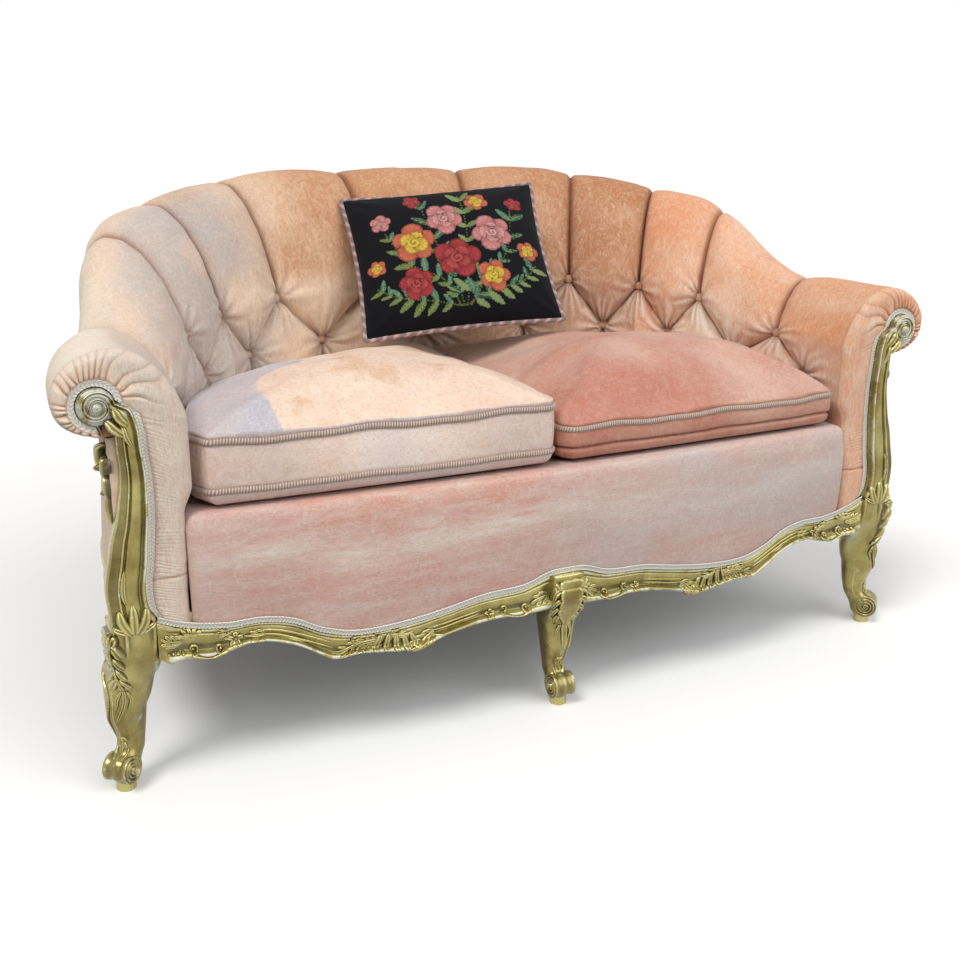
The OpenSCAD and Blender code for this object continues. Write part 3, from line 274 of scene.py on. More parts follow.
# Materials
class Mat:
    """A node material with a principled shader and short helpers."""
    def __init__(self, name, **fixed):
        self.m = bpy.data.materials.new(name)
        self.m.use_nodes = True
        self.t = self.m.node_tree
        self.b = self.t.nodes["Principled BSDF"]
        for k, v in fixed.items():
            self.b.inputs[k.replace("_", " ")].default_value = v
        self.co = None

    def n(self, kind, **kw):
        node = self.t.nodes.new(kind)
        for k, v in kw.items():
            if hasattr(node, k) and not k[0].isupper():
                setattr(node, k, v)
            else:
                self.put(v, node.inputs[k.replace("_", " ")])
        return node

    def put(self, v, sock):
        if isinstance(v, bpy.types.NodeSocket):
            self.t.links.new(v, sock)
        else:
            sock.default_value = v

    def obj(self):
        if self.co is None:
            self.co = self.t.nodes.new("ShaderNodeTexCoord")
        return self.co.outputs["Object"]

    def uv(self):
        self.obj()
        return self.co.outputs["UV"]

    def scaled(self, vec, s):
        return self.n("ShaderNodeMapping", vector_type="POINT", Vector=vec, Scale=s).outputs["Vector"]

    def noise(self, vec, scale, detail=4, rough=0.55, distortion=0.0):
        return self.n("ShaderNodeTexNoise", Vector=vec, Scale=scale, Detail=detail, Roughness=rough,
                      Distortion=distortion).outputs["Fac"]

    def ramp(self, fac, *stops):
        """A grey ramp with two stops (position, value)."""
        node = self.n("ShaderNodeValToRGB", Fac=fac)
        for e, (p, c) in zip(node.color_ramp.elements, stops):
            e.position, e.color = p, (c, c, c, 1)
        return node.outputs["Color"]

    def mixc(self, fac, a, b):
        node = self.n("ShaderNodeMix", data_type="RGBA")
        self.put(fac, node.inputs[0])
        for v, s in ((a, node.inputs[6]), (b, node.inputs[7])):
            self.put(v if isinstance(v, bpy.types.NodeSocket) else (*v, 1), s)
        return node.outputs[2]

    def math(self, op, a, b=0.0, clamped=False):
        node = self.n("ShaderNodeMath", operation=op, use_clamp=clamped)
        self.put(a, node.inputs[0])
        self.put(b, node.inputs[1])
        return node.outputs[0]

    def add(self, a, b):
        return self.math("ADD", a, b)

    def mul(self, a, b):
        return self.math("MULTIPLY", a, b)

    def attr(self, name, out="Fac"):
        return self.n("ShaderNodeAttribute", attribute_name=name).outputs[out]

    def bands(self, direction, scale, **kw):
        return self.n("ShaderNodeTexWave", wave_type="BANDS", bands_direction=direction, Vector=self.obj(),
                      Scale=scale, **kw).outputs["Fac"]

    def bump(self, height, strength, distance):
        return self.n("ShaderNodeBump", Height=height, Strength=strength, Distance=distance).outputs["Normal"]

    def set(self, **links):
        for k, v in links.items():
            self.put(v, self.b.inputs[k.replace("_", " ")])
        return self.m


def srgb(r, g, b):
    """Linear colour from the 0 to 255 values of a screen colour."""
    return tuple(c / 12.92 if c <= 0.04045 else ((c + 0.055) / 1.055) ** 2.4
                 for c in (r / 255, g / 255, b / 255))


# The tub's surface, as in the part's source (degrees and millimetres)
TUB_HALF, TUB_D, TUB_SQ = 585, 542, 2.5
FRAME_HALF, FRAME_D, FRAME_SQ = 668, 652, 4
ARM_Y, PAD_LOW, LEG_H, DECK_H = -12, 330, 262, 405
# How far the outside cover stands off its wall, and clearances over the frame and over the seat
COVER_OUT, CLEAR, BED = 2.5, 0.3, 0.6
SEAMS = 90 * np.array([0.155, 0.37, 0.533, 0.711, 0.926])
EDGES = np.concatenate([[0], SEAMS, [180 - SEAMS[-1]]])
MIDS = (EDGES[:-1] + EDGES[1:]) / 2
ARM_END, POST_TURN, TUFT_S, REACH = SEAMS[2], 31, 0.7, 60
# Millimetres along the padding per degree of turn and per unit of s
TURN_LEN, RISE_LEN = 8, 205


def fold(t):
    return np.where(t > 90, 180 - t, t)


def oval(half, d, sq, t):
    """Superellipse in plan; t degrees run from the right arm's front round the back to the left arm's."""
    y = ARM_Y + d * np.abs(sind(t)) ** (2 / sq)
    return points(half * spow(cosd(t), 2 / sq), y)


def tub_xy(t, out=0.0):
    return oval(TUB_HALF + out, TUB_D + out, TUB_SQ, t)


def frame_xy(t, out=0.0):
    return oval(FRAME_HALF + out, FRAME_D + out, FRAME_SQ, t)


def rise(t):
    return 0.6 * ease((fold(t) - 14) / 24) + 0.4 * ease((fold(t) - 20) / 58)


def tuft_z(t):
    return mix(545, 628, rise(t))


def crest_z(t):
    return mix(646, 837, rise(t)) - 9


def roll_out(t):
    return mix(82, 118, rise(t))


def roll_rz(t):
    return mix(55, 67, rise(t))


def roll_z(t):
    return crest_z(t) - roll_rz(t)


ROLL_SHARES = [[0, 1], [10, 0.82], [17, 0.45], [24, 0.36], [33, 0.6], [48, 0.9], [66, 1], [90, 1]]


def roll_reach(t):
    return 69 * curve_at(ROLL_SHARES, fold(t))


def board_half(t):
    return 0.22 * roll_reach(t)


def board_low(t):
    return roll_z(t) - roll_rz(t) * sind(75)


def section(t, s):
    """Outward reach and height of the seat side.

    s is 0 at its foot, 1 at the tufts, 2 on the crest and 3 under the roll.
    """
    g, a = clamp(s - 1, 0, 1), 90 - 165 * (s - 2)
    over = roll_out(t) + roll_reach(t) * cosd(a)
    out = np.where(s < 1, 0 * t, np.where(s < 2, roll_out(t) * g ** 1.3, over))
    upper = np.where(s < 2, mix(tuft_z(t), crest_z(t), sind(90 * g)), roll_z(t) + roll_rz(t) * sind(a))
    return out, np.where(s < 1, mix(PAD_LOW, tuft_z(t), s), upper)


def sewn(t, s):
    """Distance to the nearest sewn line."""
    q = fold(t)
    k = clamp((s - TUFT_S) / (1 - TUFT_S))
    d = [np.abs(q - mix(MIDS[i + j], SEAMS[i], k)) for i in range(5) for j in (0, 1)]
    return TURN_LEN * np.min(d, axis=0)


def to_tufts(t, s):
    """Distance to, and angle about, the nearest tuft."""
    q, best, ang = fold(t), 1e9 + 0 * t, 0 * t
    for turns, level in ((SEAMS, 1), (MIDS, TUFT_S)):
        for m in turns:
            u, v = (q - m) * TURN_LEN, (s - level) * RISE_LEN
            d = np.hypot(u, v)
            ang = np.where(d < best, np.arctan2(v, u), ang)
            best = np.minimum(best, d)
    return best, ang


def swell_depth(t):
    return 27 * mix(0.5, 1, ease(fold(t) / 18))


def swell(t, s):
    """How far the padding stands out between its sewn lines."""
    depth = mix(swell_depth(t), 9, ease(s - 1.2)) * (1 - ease(3 * (s - 2) - 2))
    k = clamp(sewn(t, s) / REACH)
    return depth * np.sqrt(1 - (1 - k) ** 2) * ease((s - 0.36) / 0.2)


def pad_at(t, s, lift=0.0):
    """Point of the padded surface; lift is what folds and creases add to it."""
    e = 0.01
    hi, lo = np.minimum(s, 3 - e) + e, np.maximum(np.minimum(s, 3 - e) - e, 0)
    (o1, z1), (o0, z0) = section(t, hi), section(t, lo)
    n = unit(points(-(z1 - z0), o1 - o0))
    o, z = section(t, s)
    w = swell(t, s) + lift
    return np.concatenate([tub_xy(t, o + n[..., 0] * w), (z + n[..., 1] * w)[..., None]], -1)


def tub_match(t):
    """Turn on the tub that faces turn t on the frame."""
    q = np.degrees(np.arcsin(np.sin(np.radians(fold(t))) ** (TUB_SQ / FRAME_SQ)))
    return np.where(np.asarray(t) > 90, 180 - q, q)


def cover_at(t, k, out=0.0):
    """Point of the outside cover; k runs from the rail to the tack line."""
    m = tub_match(t)
    low = frame_xy(t, out + 5 * sind(180 * k))
    high = tub_xy(m, roll_out(m) + board_half(m) - 5 + out)
    z = mix(LEG_H + CLEAR, board_low(m) - 2, k)
    return np.concatenate([low + (high - low) * np.asarray(k)[..., None], z[..., None]], -1)


RAIL_END, RAIL_LOW, RAIL_T = 638, 152, 34
LOW_SHARES = [[0, 0.62], [0.05, 0.62], [0.12, 0.6], [0.2, 0.65], [0.31, 0.42], [0.4, 0], [0.45, 0.03],
              [0.54, 0.22],
              [0.605, 0.15], [0.635, 0.4], [0.7, 1], [0.785, 1.35], [0.88, 1], [0.95, 1.05], [1, 0.9]]
TOP_SHARES = [[0, 2.15], [0.05, 2.1], [0.12, 1.75], [0.23, 1.63], [0.33, 1.33], [0.44, 1.08], [0.55, 1.03],
              [0.63, 1.35], [0.7, 1.9], [0.77, 2.12], [0.85, 2.1], [0.94, 2.33], [1, 2.7]]


def rail_low(x):
    return RAIL_LOW + 40 * curve_at(LOW_SHARES, np.abs(x) / RAIL_END)


def rail_top(x):
    return RAIL_LOW + 40 * curve_at(TOP_SHARES, np.abs(x) / RAIL_END)


def rail_y(x):
    return -20 - 35 * (1 - (x / RAIL_END) ** 2)


def deck_z(y):
    return DECK_H - (y - 75) * math.tan(math.radians(4))


# Colours and materials
def velvet(name, base, nap, pale, cool, streak=(60, 60, 14), ribs=None):
    """Short-pile velvet with cloudy nap, faint brushing, crush marks and a fine tooth.

    The attributes pale, cool and deep say where it is paler, greyer and shaded: pale is faded nap in places
    and painted sunlight, sheen and highlights in others, cool is grey nap in places and painted shade in
    others, and deep is painted shade.
    """
    base, nap, pale, cool = (srgb(*c) for c in (base, nap, pale, cool))
    m = Mat(name, Roughness=0.8, Sheen_Weight=0.2, Sheen_Roughness=0.4, Specular_IOR_Level=0.12)
    m.b.inputs["Sheen Tint"].default_value = (1.0, 0.92, 0.88, 1)
    co = m.obj()
    cloud = m.noise(co, 6.0, detail=6, rough=0.6, distortion=0.5)
    brush = m.noise(m.scaled(co, streak), 2.0, detail=6, rough=0.65, distortion=0.6)
    fine = m.noise(m.scaled(co, tuple(4 * k for k in streak)), 2.0, detail=4, rough=0.65, distortion=1.0)
    col = m.mixc(m.ramp(cloud, (0.36, 0.0), (0.68, 1.0)), base, nap)
    # Paler where pale is set: faded nap, painted sunlight, painted sheen and painted highlights
    lift = m.math("ADD", m.attr("pale"), m.mul(m.math("SUBTRACT", brush, 0.5), 0.9), clamped=True)
    col = m.mixc(lift, col, pale)
    # Greyer where cool is set: grey nap and painted shade
    grey = m.math("MULTIPLY", m.attr("cool"), m.add(0.35, m.mul(cloud, 1.2)), clamped=True)
    col = m.mixc(grey, col, cool)
    marks = m.noise(m.scaled(co, (1, 1, 0.6)), 46, detail=5, rough=0.6, distortion=1.2)
    marks = m.ramp(m.math("ABSOLUTE", m.math("SUBTRACT", marks, 0.5)), (0.0, 1.0), (0.035, 0.0))
    col = m.mixc(m.mul(marks, 0.28), col, pale)
    col = m.mixc(m.ramp(fine, (0.28, 0.3), (0.5, 0.0)), col, tuple(c * 0.62 for c in base))
    # Painted shade where deep is set
    col = m.mixc(m.attr("deep"), col, tuple(c * k for c, k in zip(base, (0.36, 0.27, 0.24))))
    pile = m.noise(co, 900, detail=2, rough=0.7)
    value = m.add(m.mul(pile, 0.12), m.add(m.mul(fine, 0.3), 0.79))
    hue = m.n("ShaderNodeHueSaturation", Saturation=1.03, Value=value, Color=col).outputs[0]
    h = m.add(m.mul(marks, 0.8), m.add(m.mul(pile, 0.35), m.mul(fine, 1.8)))
    if ribs:
        h = m.add(h, m.mul(m.bands("X", ribs, Distortion=1.5, Detail=2), 0.5))
    return m.set(Base_Color=hue, Normal=m.bump(h, 0.35, 0.001))


def gilt(name):
    """Old gilding: olive gold with painted highlights on sharp edges, dark recesses of painted shade and
    grime, and chips down to the white ground.
    """
    m = Mat(name, Specular_IOR_Level=0.5, Coat_Weight=0.25, Coat_Roughness=0.25)
    co = m.obj()
    point = m.n("ShaderNodeNewGeometry").outputs["Pointiness"]
    # Sharp edges, by pointiness: they take a painted highlight of pale gold, and the chips
    edge = m.ramp(point, (0.505, 0.0), (0.57, 1.0))
    # Hollows by pointiness and the attribute low are darkened: painted shade, with grime
    pit = m.ramp(point, (0.43, 1.0), (0.495, 0.0))
    low = m.math("MAXIMUM", pit, m.attr("low"), clamped=True)
    patch = m.noise(co, 16, detail=5, rough=0.6)
    leaf = m.mixc(m.ramp(patch, (0.35, 0.0), (0.65, 1.0)), srgb(126, 110, 48), srgb(178, 168, 106))
    col = m.mixc(m.mul(edge, 0.6), leaf, srgb(220, 208, 140))
    col = m.mixc(m.mul(low, 0.85), col, srgb(46, 34, 12))
    chips = m.ramp(m.noise(co, 95, detail=6, rough=0.7), (0.58, 0.0), (0.63, 1.0))
    rubbed = m.mul(m.attr("worn"), m.ramp(m.noise(co, 42, detail=5, rough=0.6), (0.42, 0.0), (0.5, 1.0)))
    ground = m.math("MAXIMUM", m.mul(m.mul(chips, edge), 0.9), rubbed, clamped=True)
    col = m.mixc(ground, col, srgb(232, 236, 228))
    rough = m.add(m.mul(patch, 0.2), m.add(m.mul(ground, 0.3), 0.16))
    metal = m.math("SUBTRACT", 0.7, m.add(m.mul(ground, 0.85), m.mul(low, 0.4)), clamped=True)
    bump = m.bump(m.add(m.noise(co, 260, detail=3), m.mul(m.noise(co, 60, detail=3), 1.6)), 0.14, 0.0009)
    return m.set(Base_Color=col, Roughness=rough, Metallic=metal, Normal=bump)


def braid(name, a, b, scale=420):
    """Yarn whose threads take turns between two tones, by attribute strand."""
    a, b = srgb(*a), srgb(*b)
    m = Mat(name, Roughness=0.7, Sheen_Weight=0.3, Specular_IOR_Level=0.25)
    n = m.noise(m.obj(), scale, detail=3, rough=0.6)
    col = m.mixc(m.attr("strand"), a, b)
    col = m.mixc(m.ramp(n, (0.45, 0.0), (0.75, 0.35)), col, tuple(c * 0.5 for c in a))
    return m.set(Base_Color=col, Normal=m.bump(n, 0.5, 0.0006))


def cloth(name, a, b):
    """Plain woven cloth."""
    a, b = srgb(*a), srgb(*b)
    m = Mat(name, Roughness=0.9, Specular_IOR_Level=0.2)
    h = m.mul(*(m.bands(way, 500, Distortion=0.6, Detail=1) for way in "XY"))
    c = m.mixc(m.ramp(m.noise(m.obj(), 12, detail=5), (0.3, 0.0), (0.7, 1.0)), a, b)
    c = m.mixc(m.mul(h, 0.3), c, tuple(k * 0.6 for k in a))
    return m.set(Base_Color=c, Normal=m.bump(h, 0.3, 0.0005))


def timber(name, a, b):
    """Plain timber with grain along x."""
    m = Mat(name, Roughness=0.6, Specular_IOR_Level=0.3)
    g = m.noise(m.scaled(m.obj(), (9, 54, 54)), 2.0, detail=6, rough=0.6, distortion=0.8)
    c = m.mixc(m.ramp(g, (0.35, 0.0), (0.7, 1.0)), srgb(*a), srgb(*b))
    return m.set(Base_Color=c, Normal=m.bump(g, 0.2, 0.001))


# Each velvet's pale and cool colours also serve as painted sunlight, sheen, highlights and shade
M_BACK = velvet("back_velvet", (184, 126, 88), (202, 152, 117), (246, 220, 192), (188, 178, 172))
M_ARM = velvet("arm_velvet", (224, 154, 114), (230, 174, 138), (246, 234, 214), (200, 188, 180))
M_BORDER = velvet("border_velvet", (208, 157, 142), (212, 176, 163), (228, 219, 206), (199, 190, 187),
                  (16, 16, 64))
# Its cool colour is also the painted shadow beside the sunlit patch on the left cushion's top
M_LEFT = velvet("left_cushion_velvet", (220, 172, 136), (226, 196, 166), (252, 234, 222), (191, 187, 195),
                (34, 16, 50), ribs=90)
M_RIGHT = velvet("right_cushion_velvet", (190, 128, 110), (202, 150, 132), (222, 190, 170), (196, 178, 170),
                 (26, 30, 50))
M_GILT = gilt("gilding")
M_TRIM = braid("rope_yarn", (132, 108, 94), (214, 194, 180))
M_GIMP = braid("gimp_yarn", (212, 206, 194), (246, 243, 234), 600)
M_CORD = braid("cord_yarn", (126, 110, 112), (200, 162, 154))
M_BEECH = timber("beech", (186, 140, 92), (214, 172, 122))
M_CANVAS = cloth("canvas", (190, 168, 130), (206, 186, 148))
M_BLACK = cloth("black_cloth", (24, 23, 24), (40, 38, 38))
M_STEEL = Mat("steel", Metallic=0.9).set(Base_Color=(0.35, 0.35, 0.36, 1), Roughness=0.45)


# Upholstery of the tub
# How pale and how grey the nap is, by turn round the tub: paler on the left, faded nap with painted sunlight;
# greyer on the left of the back and inside the left arm, grey nap with painted shade
PALE_T = [[0, 0.05], [18, 0.08], [26, 0.36], [33, 0.3], [40, 0.05], [50, 0.0], [66, 0.0], [100, 0.02],
          [112, 0.4], [128, 0.55], [150, 0.5], [166, 0.62], [180, 0.7]]
COOL_T = [[0, 0.0], [20, 0.1], [30, 0.0], [60, 0.1], [104, 0.0], [114, 0.2], [126, 0.75], [146, 1.0],
          [160, 0.75], [180, 0.6]]


def velvet_grid(node, word, P, mat, pale, cool=0.0, deep=0.0, slot="velvet", **kw):
    """A velvet piece named after its node, with how pale, how grey and how shaded its nap is: pale and grey
    hold faded and grey nap and also painted sunlight, highlights and shade, and deep is painted shade.
    """
    attrs = {"pale": pale, "cool": cool + 0 * pale, "deep": deep + 0 * pale}
    grid(node + word, P, mat, replaces=[node], slot=slot, attrs=attrs, **kw)


def tub_pad(node, t0, t1):
    """Upholstery of the seat side from turn t0 to t1, with its tufts, folds and puckers."""
    t = np.linspace(t0, t1, int(abs(t1 - t0) * lod(4)))[:, None]
    s = np.concatenate([np.linspace(0, 0.36, 8)[:-1], np.linspace(0.36, 3, lod(190))])[None, :]
    t, s = np.broadcast_arrays(t, s)
    d, (near, ang) = sewn(t, s), to_tufts(t, s)
    q = points(fold(t) * TURN_LEN * np.where(t > 90, -1, 1), s * RISE_LEN, 0 * t)
    on = ease((s - 0.4) / 0.15) * (1 - ease((s - 2.3) / 0.5)) * ease(np.minimum(t, 180 - t) / 2.5)
    low_tuft, line = 1 - ease((s - 0.86) / 0.3), ease((s - 0.98) / 0.1)
    soft = 1.3 * vnoise(q / 60, 3) + 0.7 * vnoise(q / 24, 5)
    rays = np.cos(ang * 15 + 3 * vnoise(q / 34, 14)) * bell(near, 46) * ease(near / 10)
    folds = np.cos(ang * 9 + 2.4 * vnoise(q / 40, 9)) * np.exp(-near / 24) * 3.4 * ease(near / 12)
    folds = folds + 2.0 * rays * low_tuft
    pull = np.cos(q[..., 1] / 7.5 + 1.6 * vnoise(q / 30, 4)) * bell(d - 9, 9) * 0.7 * ease((s - 1.05) / 0.2)
    crease = -mix(2.4, 4.0, line) * bell(d, 3.2) - 4.5 * bell(near, 10)
    P = pad_at(t, s, on * (soft * clamp(d / 30) + folds + pull + crease))
    top = ease((s - 1.65) / 0.6)
    # Painted shade in the sewn lines and round the tufts, less on fold crests
    deep = (mix(0.38, 1, line) * (bell(d, 2.9) * 0.75 + bell(d, 12) * 0.16) + bell(near, 12) * 0.5
            - 0.1 * folds)
    # Painted sunlight on the top of the left arm's roll; painted highlights on the folds round the lower
    # tufts and on fold crests; painted light that lifts the shade low on the back, left of the middle
    pale = curve_at(PALE_T, t) + 0.3 * low_tuft * ease((t - 88) / 8) + 0.45 * top * ease((t - 120) / 30)
    pale = pale + 0.22 * vnoise(q / 60, 12) + 0.5 * low_tuft * ease((t - 100) / 16)
    pale = pale + low_tuft * (bell(near, 66) * (0.5 + 0.45 * rays) + 0.8 * ease((t - 85) / 12)) + 0.05 * folds
    # Grey by turn carries painted shade on the left; it is kept off the top of the roll
    cool = curve_at(COOL_T, t) * (1 - top) * (1 + 0.7 * vnoise(q / 70, 15)) + 0.35 * low_tuft * bell(near, 60)
    # The last row is tucked up under the roll
    nap = (np.concatenate([a, a[:, -1:]], 1) for a in (clamp(pale), clamp(cool), clamp(deep) * on))
    P = np.concatenate([P, P[:, -1:] + np.array([0, 0, 6])], 1)
    velvet_grid(node, "_upholstery", P, M_BACK if node == "inside_back" else M_ARM, *nap, flip=True, pad=0.85)


tub_pad("inside_arm_right", 0, ARM_END)
tub_pad("inside_back", ARM_END, 180 - ARM_END)
tub_pad("inside_arm_left", 180 - ARM_END, 180)


def velvet_cover(node, t0, t1):
    """Outside cover from turn t0 to t1; an arm's is folded in behind the post."""
    t, k = np.broadcast_arrays(np.linspace(t0, t1, 90)[:, None], np.linspace(0, 1, 50)[None, :])
    P, back = cover_at(t, k, COVER_OUT), cover_at(t, k, 0.6)
    P[..., 1] += 1.2 * vnoise(P / 90, 6) * np.sin(np.pi * k)
    if node == "outside_arm_left":
        P, back = P[::-1], back[::-1]
    P = np.concatenate([P, back[:, ::-1]], 1)
    if node != "outside_back":
        edge = P[:1].copy()
        edge[..., 0] += np.where(edge[..., 0] > 0, -22, 22)
        P = np.concatenate([edge, P])
    # Paler towards the left: faded nap and painted sunlight
    pale = mix(0.7, 0.15, ease((P[:, :, 0] + 560) / 420))
    velvet_grid(node, "_cover", P, M_ARM, pale, wrap_v=True, caps=True, flip=node != "outside_arm_left")


velvet_cover("outside_arm_right", 0, POST_TURN)
velvet_cover("outside_back", POST_TURN, 180 - POST_TURN)
velvet_cover("outside_arm_left", 180 - POST_TURN, 180)


# Carved posts: centreline and half width, then their spiral volutes
BLOCK_X, VOLUTE, VOLUTE_R, VOLUTE_TURNS = 668.5, np.array([690.0, 574.0]), 26, 2.05
POST_SWAY, POST_HALF, POST_TOP = 45, 31, 560
POST_SHARES = np.array([[0, 0, 1], [0.065, -0.09, 0.85], [0.19, -0.13, 0.84], [0.31, 0.01, 0.81],
                        [0.4, 0.1, 0.77],
                        [0.52, 0.25, 0.66], [0.7, 0.37, 0.54], [0.84, 0.33, 0.5], [0.93, 0.3, 0.48],
                        [1, 0.21, 0.44]])


def post_stem(n):
    """Centreline (x, z) and half width of the right post up to its volute."""
    k, sway, half = POST_SHARES.T
    return spline(points(BLOCK_X - POST_SWAY * sway, mix(LEG_H, POST_TOP, k), POST_HALF * half), n)


def post_path():
    """Centreline (x, z) and half width of the right post, ending in the volute's spiral."""
    n = 150
    a = 196 - 360 * VOLUTE_TURNS * np.linspace(0.02, 1, n)
    f = np.linspace(0, 1, n)
    r = mix(16.5, 3, f ** 1.15)
    spiral = points(VOLUTE[0] + r * cosd(a), VOLUTE[1] + r * sind(a), mix(7.4, 2.0, f ** 0.9))
    both = resample(np.concatenate([post_stem(n), spiral]), n=420)
    return both[:, :2], both[:, 2]


def side_of(path):
    """Unit vectors to the right of a path."""
    t = unit(np.gradient(path, axis=0))
    return points(t[:, 1], -t[:, 0])


def ring_side(ring):
    """Unit vectors to the right of a closed line."""
    t = unit(np.roll(ring, -1, 0) - np.roll(ring, 1, 0))
    return points(t[:, 1], -t[:, 0])


def post_edge():
    """The post's inner edge (x, z) from its foot to the volute, with a small gap."""
    q = post_stem(200)
    return q[:, :2] - side_of(q[:, :2]) * (q[:, 2:] + 1)


# Arm fronts, pleated round the volutes
FRONT_FOOT = 588.0


def front_lines(n):
    """Inner and outer edge (x, z) of the right arm front from the leg up, and how far round the roll."""
    e = post_edge()
    s = np.concatenate([np.linspace(0.05, 1, int(n * 0.3)), np.linspace(1, 3, int(n * 0.4))[1:]])
    P = pad_at(0 * s, s)
    stem_z = np.linspace(float(rail_top(FRONT_FOOT)) + 0.8, P[0, 2] - 4, n - len(s))
    stem = points(np.interp(stem_z, [262, 293, 325], [FRONT_FOOT, FRONT_FOOT, 586.5]), stem_z)
    outer = np.concatenate([stem, P[:, [0, 2]]])
    share = np.concatenate([np.linspace(0, 0.36, len(stem)), mix(0.36, 1, clamp((s[s <= 1] - 0.05) / 0.95))])
    j = np.clip(share * (len(e) - 1), 0, len(e) - 1)
    inner = np.stack([np.interp(j, np.arange(len(e)), e[:, k]) for k in (0, 1)], -1)
    up = s[s > 1]
    a = np.where(up < 2, mix(166, 100, up - 1), mix(100, -85, up - 2))
    inner = np.concatenate([inner, VOLUTE + VOLUTE_R * points(cosd(a), sind(a))])
    return inner, outer, np.concatenate([0 * stem_z, 0 * s[s <= 1], up - 1])


FRONT_IN, FRONT_OUT, FRONT_UP = front_lines(lod(960))
# How deep an arm front stands, and the shares of it across from the post to the seat
FRONT_T, FRONT_SHARES = 14, [[0, 0.68], [0.15, 0.86], [0.4, 1], [0.75, 0.95], [0.92, 0.62], [1, 0.1]]


def arm_front(side):
    """Padding between a post and the tub, pleated where it turns round the volute."""
    cols = 60
    k = np.linspace(0, 1, cols)[None, :]
    xz = mix(FRONT_IN[:, None], FRONT_OUT[:, None], k[..., None])
    wide = np.linalg.norm(FRONT_OUT - FRONT_IN, axis=1)[:, None]
    L = arc_len(FRONT_IN)[:, None]
    turning = ease(FRONT_UP[:, None] / 0.25)
    off = k * wide
    wander = points(L / 7 + 0 * k, off / 30, 0 * off)
    phase = L / 1.75 + 1.4 * np.sin(L / 8.3) + 2.0 * vnoise(wander, 8)
    pleat = 1 - 2 * np.abs(np.sin(phase)) ** 0.75
    gather = (-pleat * ease((off - 9) / 5) * np.exp(-(off - 9) / mix(22, 44, turning))
              * mix(0.45, 3.0, turning))
    gather = gather * (1 + 0.7 * vnoise(wander * 0.7, 18))
    broad = 1.2 * vnoise(points(xz[..., 0] / 30, xz[..., 1] / 30, 0 * xz[..., 0]), 21)
    depth = FRONT_T * curve_at(FRONT_SHARES, k) - 1.6 * (1 - ease((off - 8) / 3))
    welt = 2.2 * bell(xz[..., 1] - 322, 2.4) * (1 - ease(FRONT_UP[:, None] * 9))
    y = ARM_Y - depth - gather - broad * np.sin(np.pi * k) + welt
    P = points(side * xz[..., 0], y, xz[..., 1])
    back = P[:, ::-1].copy()
    back[..., 1] = ARM_Y - 0.2 - 4.6 * (back[..., 2] < LEG_H + 0.4)
    P = np.concatenate([P, back[:, ::20]], 1)
    # The left front's pale is faded nap and painted sunlight
    pale, cool, deep = (np.full(P.shape[:2], v) for v in ((0.2, 0.1, 0.0) if side > 0 else (0.76, 0.5, 0.0)))
    # Painted shade in the pleats' hollows and painted highlights on their crests
    deep[:, :cols] = clamp(0.35 * bell(off - 11, 4) - 0.26 * gather + 0.12 * welt)
    cool[:, :cols] *= 1 - 0.7 * turning * bell(off - 14, 22)
    pale[:, :cols] = clamp(pale[:, :cols] - 0.25 * turning * bell(off - 14, 16) + 0.15 * gather)
    velvet_grid("arm_front_" + hand(side), "_padding", P, M_ARM, pale, cool, deep, wrap_v=True, caps=True,
                flip=side > 0, pad=0.7)


arm_front(1)
arm_front(-1)


# Seat border, platform and linings
def border():
    """The padded edge under the cushions, from one arm front to the other."""
    x = np.linspace(-585.6, 585.6, 420)[:, None]
    # How far behind the rail's line the padding stands, and its share of the height
    prof = [[10, 0.0], [0.5, 0.0], [-2, 0.03], [-4.5, 0.12], [-7.5, 0.3], [-9, 0.5], [-8.6, 0.7],
            [-6.5, 0.86],
            [-2.5, 0.95], [3, 0.99], [10, 1.0]]
    q = spline(prof, 60)
    tuck = 9 * (1 - np.sqrt(clamp(1 - ((np.abs(x) - 569) / 15).clip(0, 1) ** 2)))
    round_end = 16 * (1 - np.sqrt(clamp(1 - clamp((np.abs(x) - 562) / 22) ** 2)))
    wave = vnoise(points(x / 45, q[None, :, 1] * 3, 0 * x), 31)
    low = rail_top(x) + 0.4
    front = (x, rail_y(x) + tuck + q[None, :, 0] + 0.9 * wave,
             mix(low, DECK_H + 3.5 - round_end, q[None, :, 1]))
    inner_y = rail_y(x) + 75
    rows = [front, (x, inner_y, deck_z(inner_y) - BED), (x, inner_y, LEG_H + CLEAR),
            (x, rail_y(x) + 9.7, LEG_H + CLEAR)]
    P = np.concatenate([points(*row) for row in rows], 1)
    # A band of painted sheen along the border's bulge, with paler nap in streaks
    band = (bell(P[..., 2] - mix(low, DECK_H, 0.62), 26)
            * (0.6 + 0.6 * vnoise(P / np.array([150, 150, 26]), 33)))
    pale = clamp(0.12 + 0.62 * band + 0.25 * vnoise(P / np.array([60, 60, 7]), 35))
    cool = clamp(0.1 + 0.5 * ease((P[..., 0] + 260) / 800) + 0.3 * vnoise(P / np.array([120, 120, 40]), 37))
    velvet_grid("seat_border", "_padding", P, M_BORDER, pale, cool, wrap_v=True, caps=True, pad=0.8)


def seat_outline(rim, x_count, y_back):
    """A closed outline (x, y) inside the tub or the frame, and along the front rail."""
    x = np.linspace(rim[-1, 0], rim[0, 0], x_count)[1:-1]
    return np.concatenate([rim, points(x, rail_y(x) + y_back)])


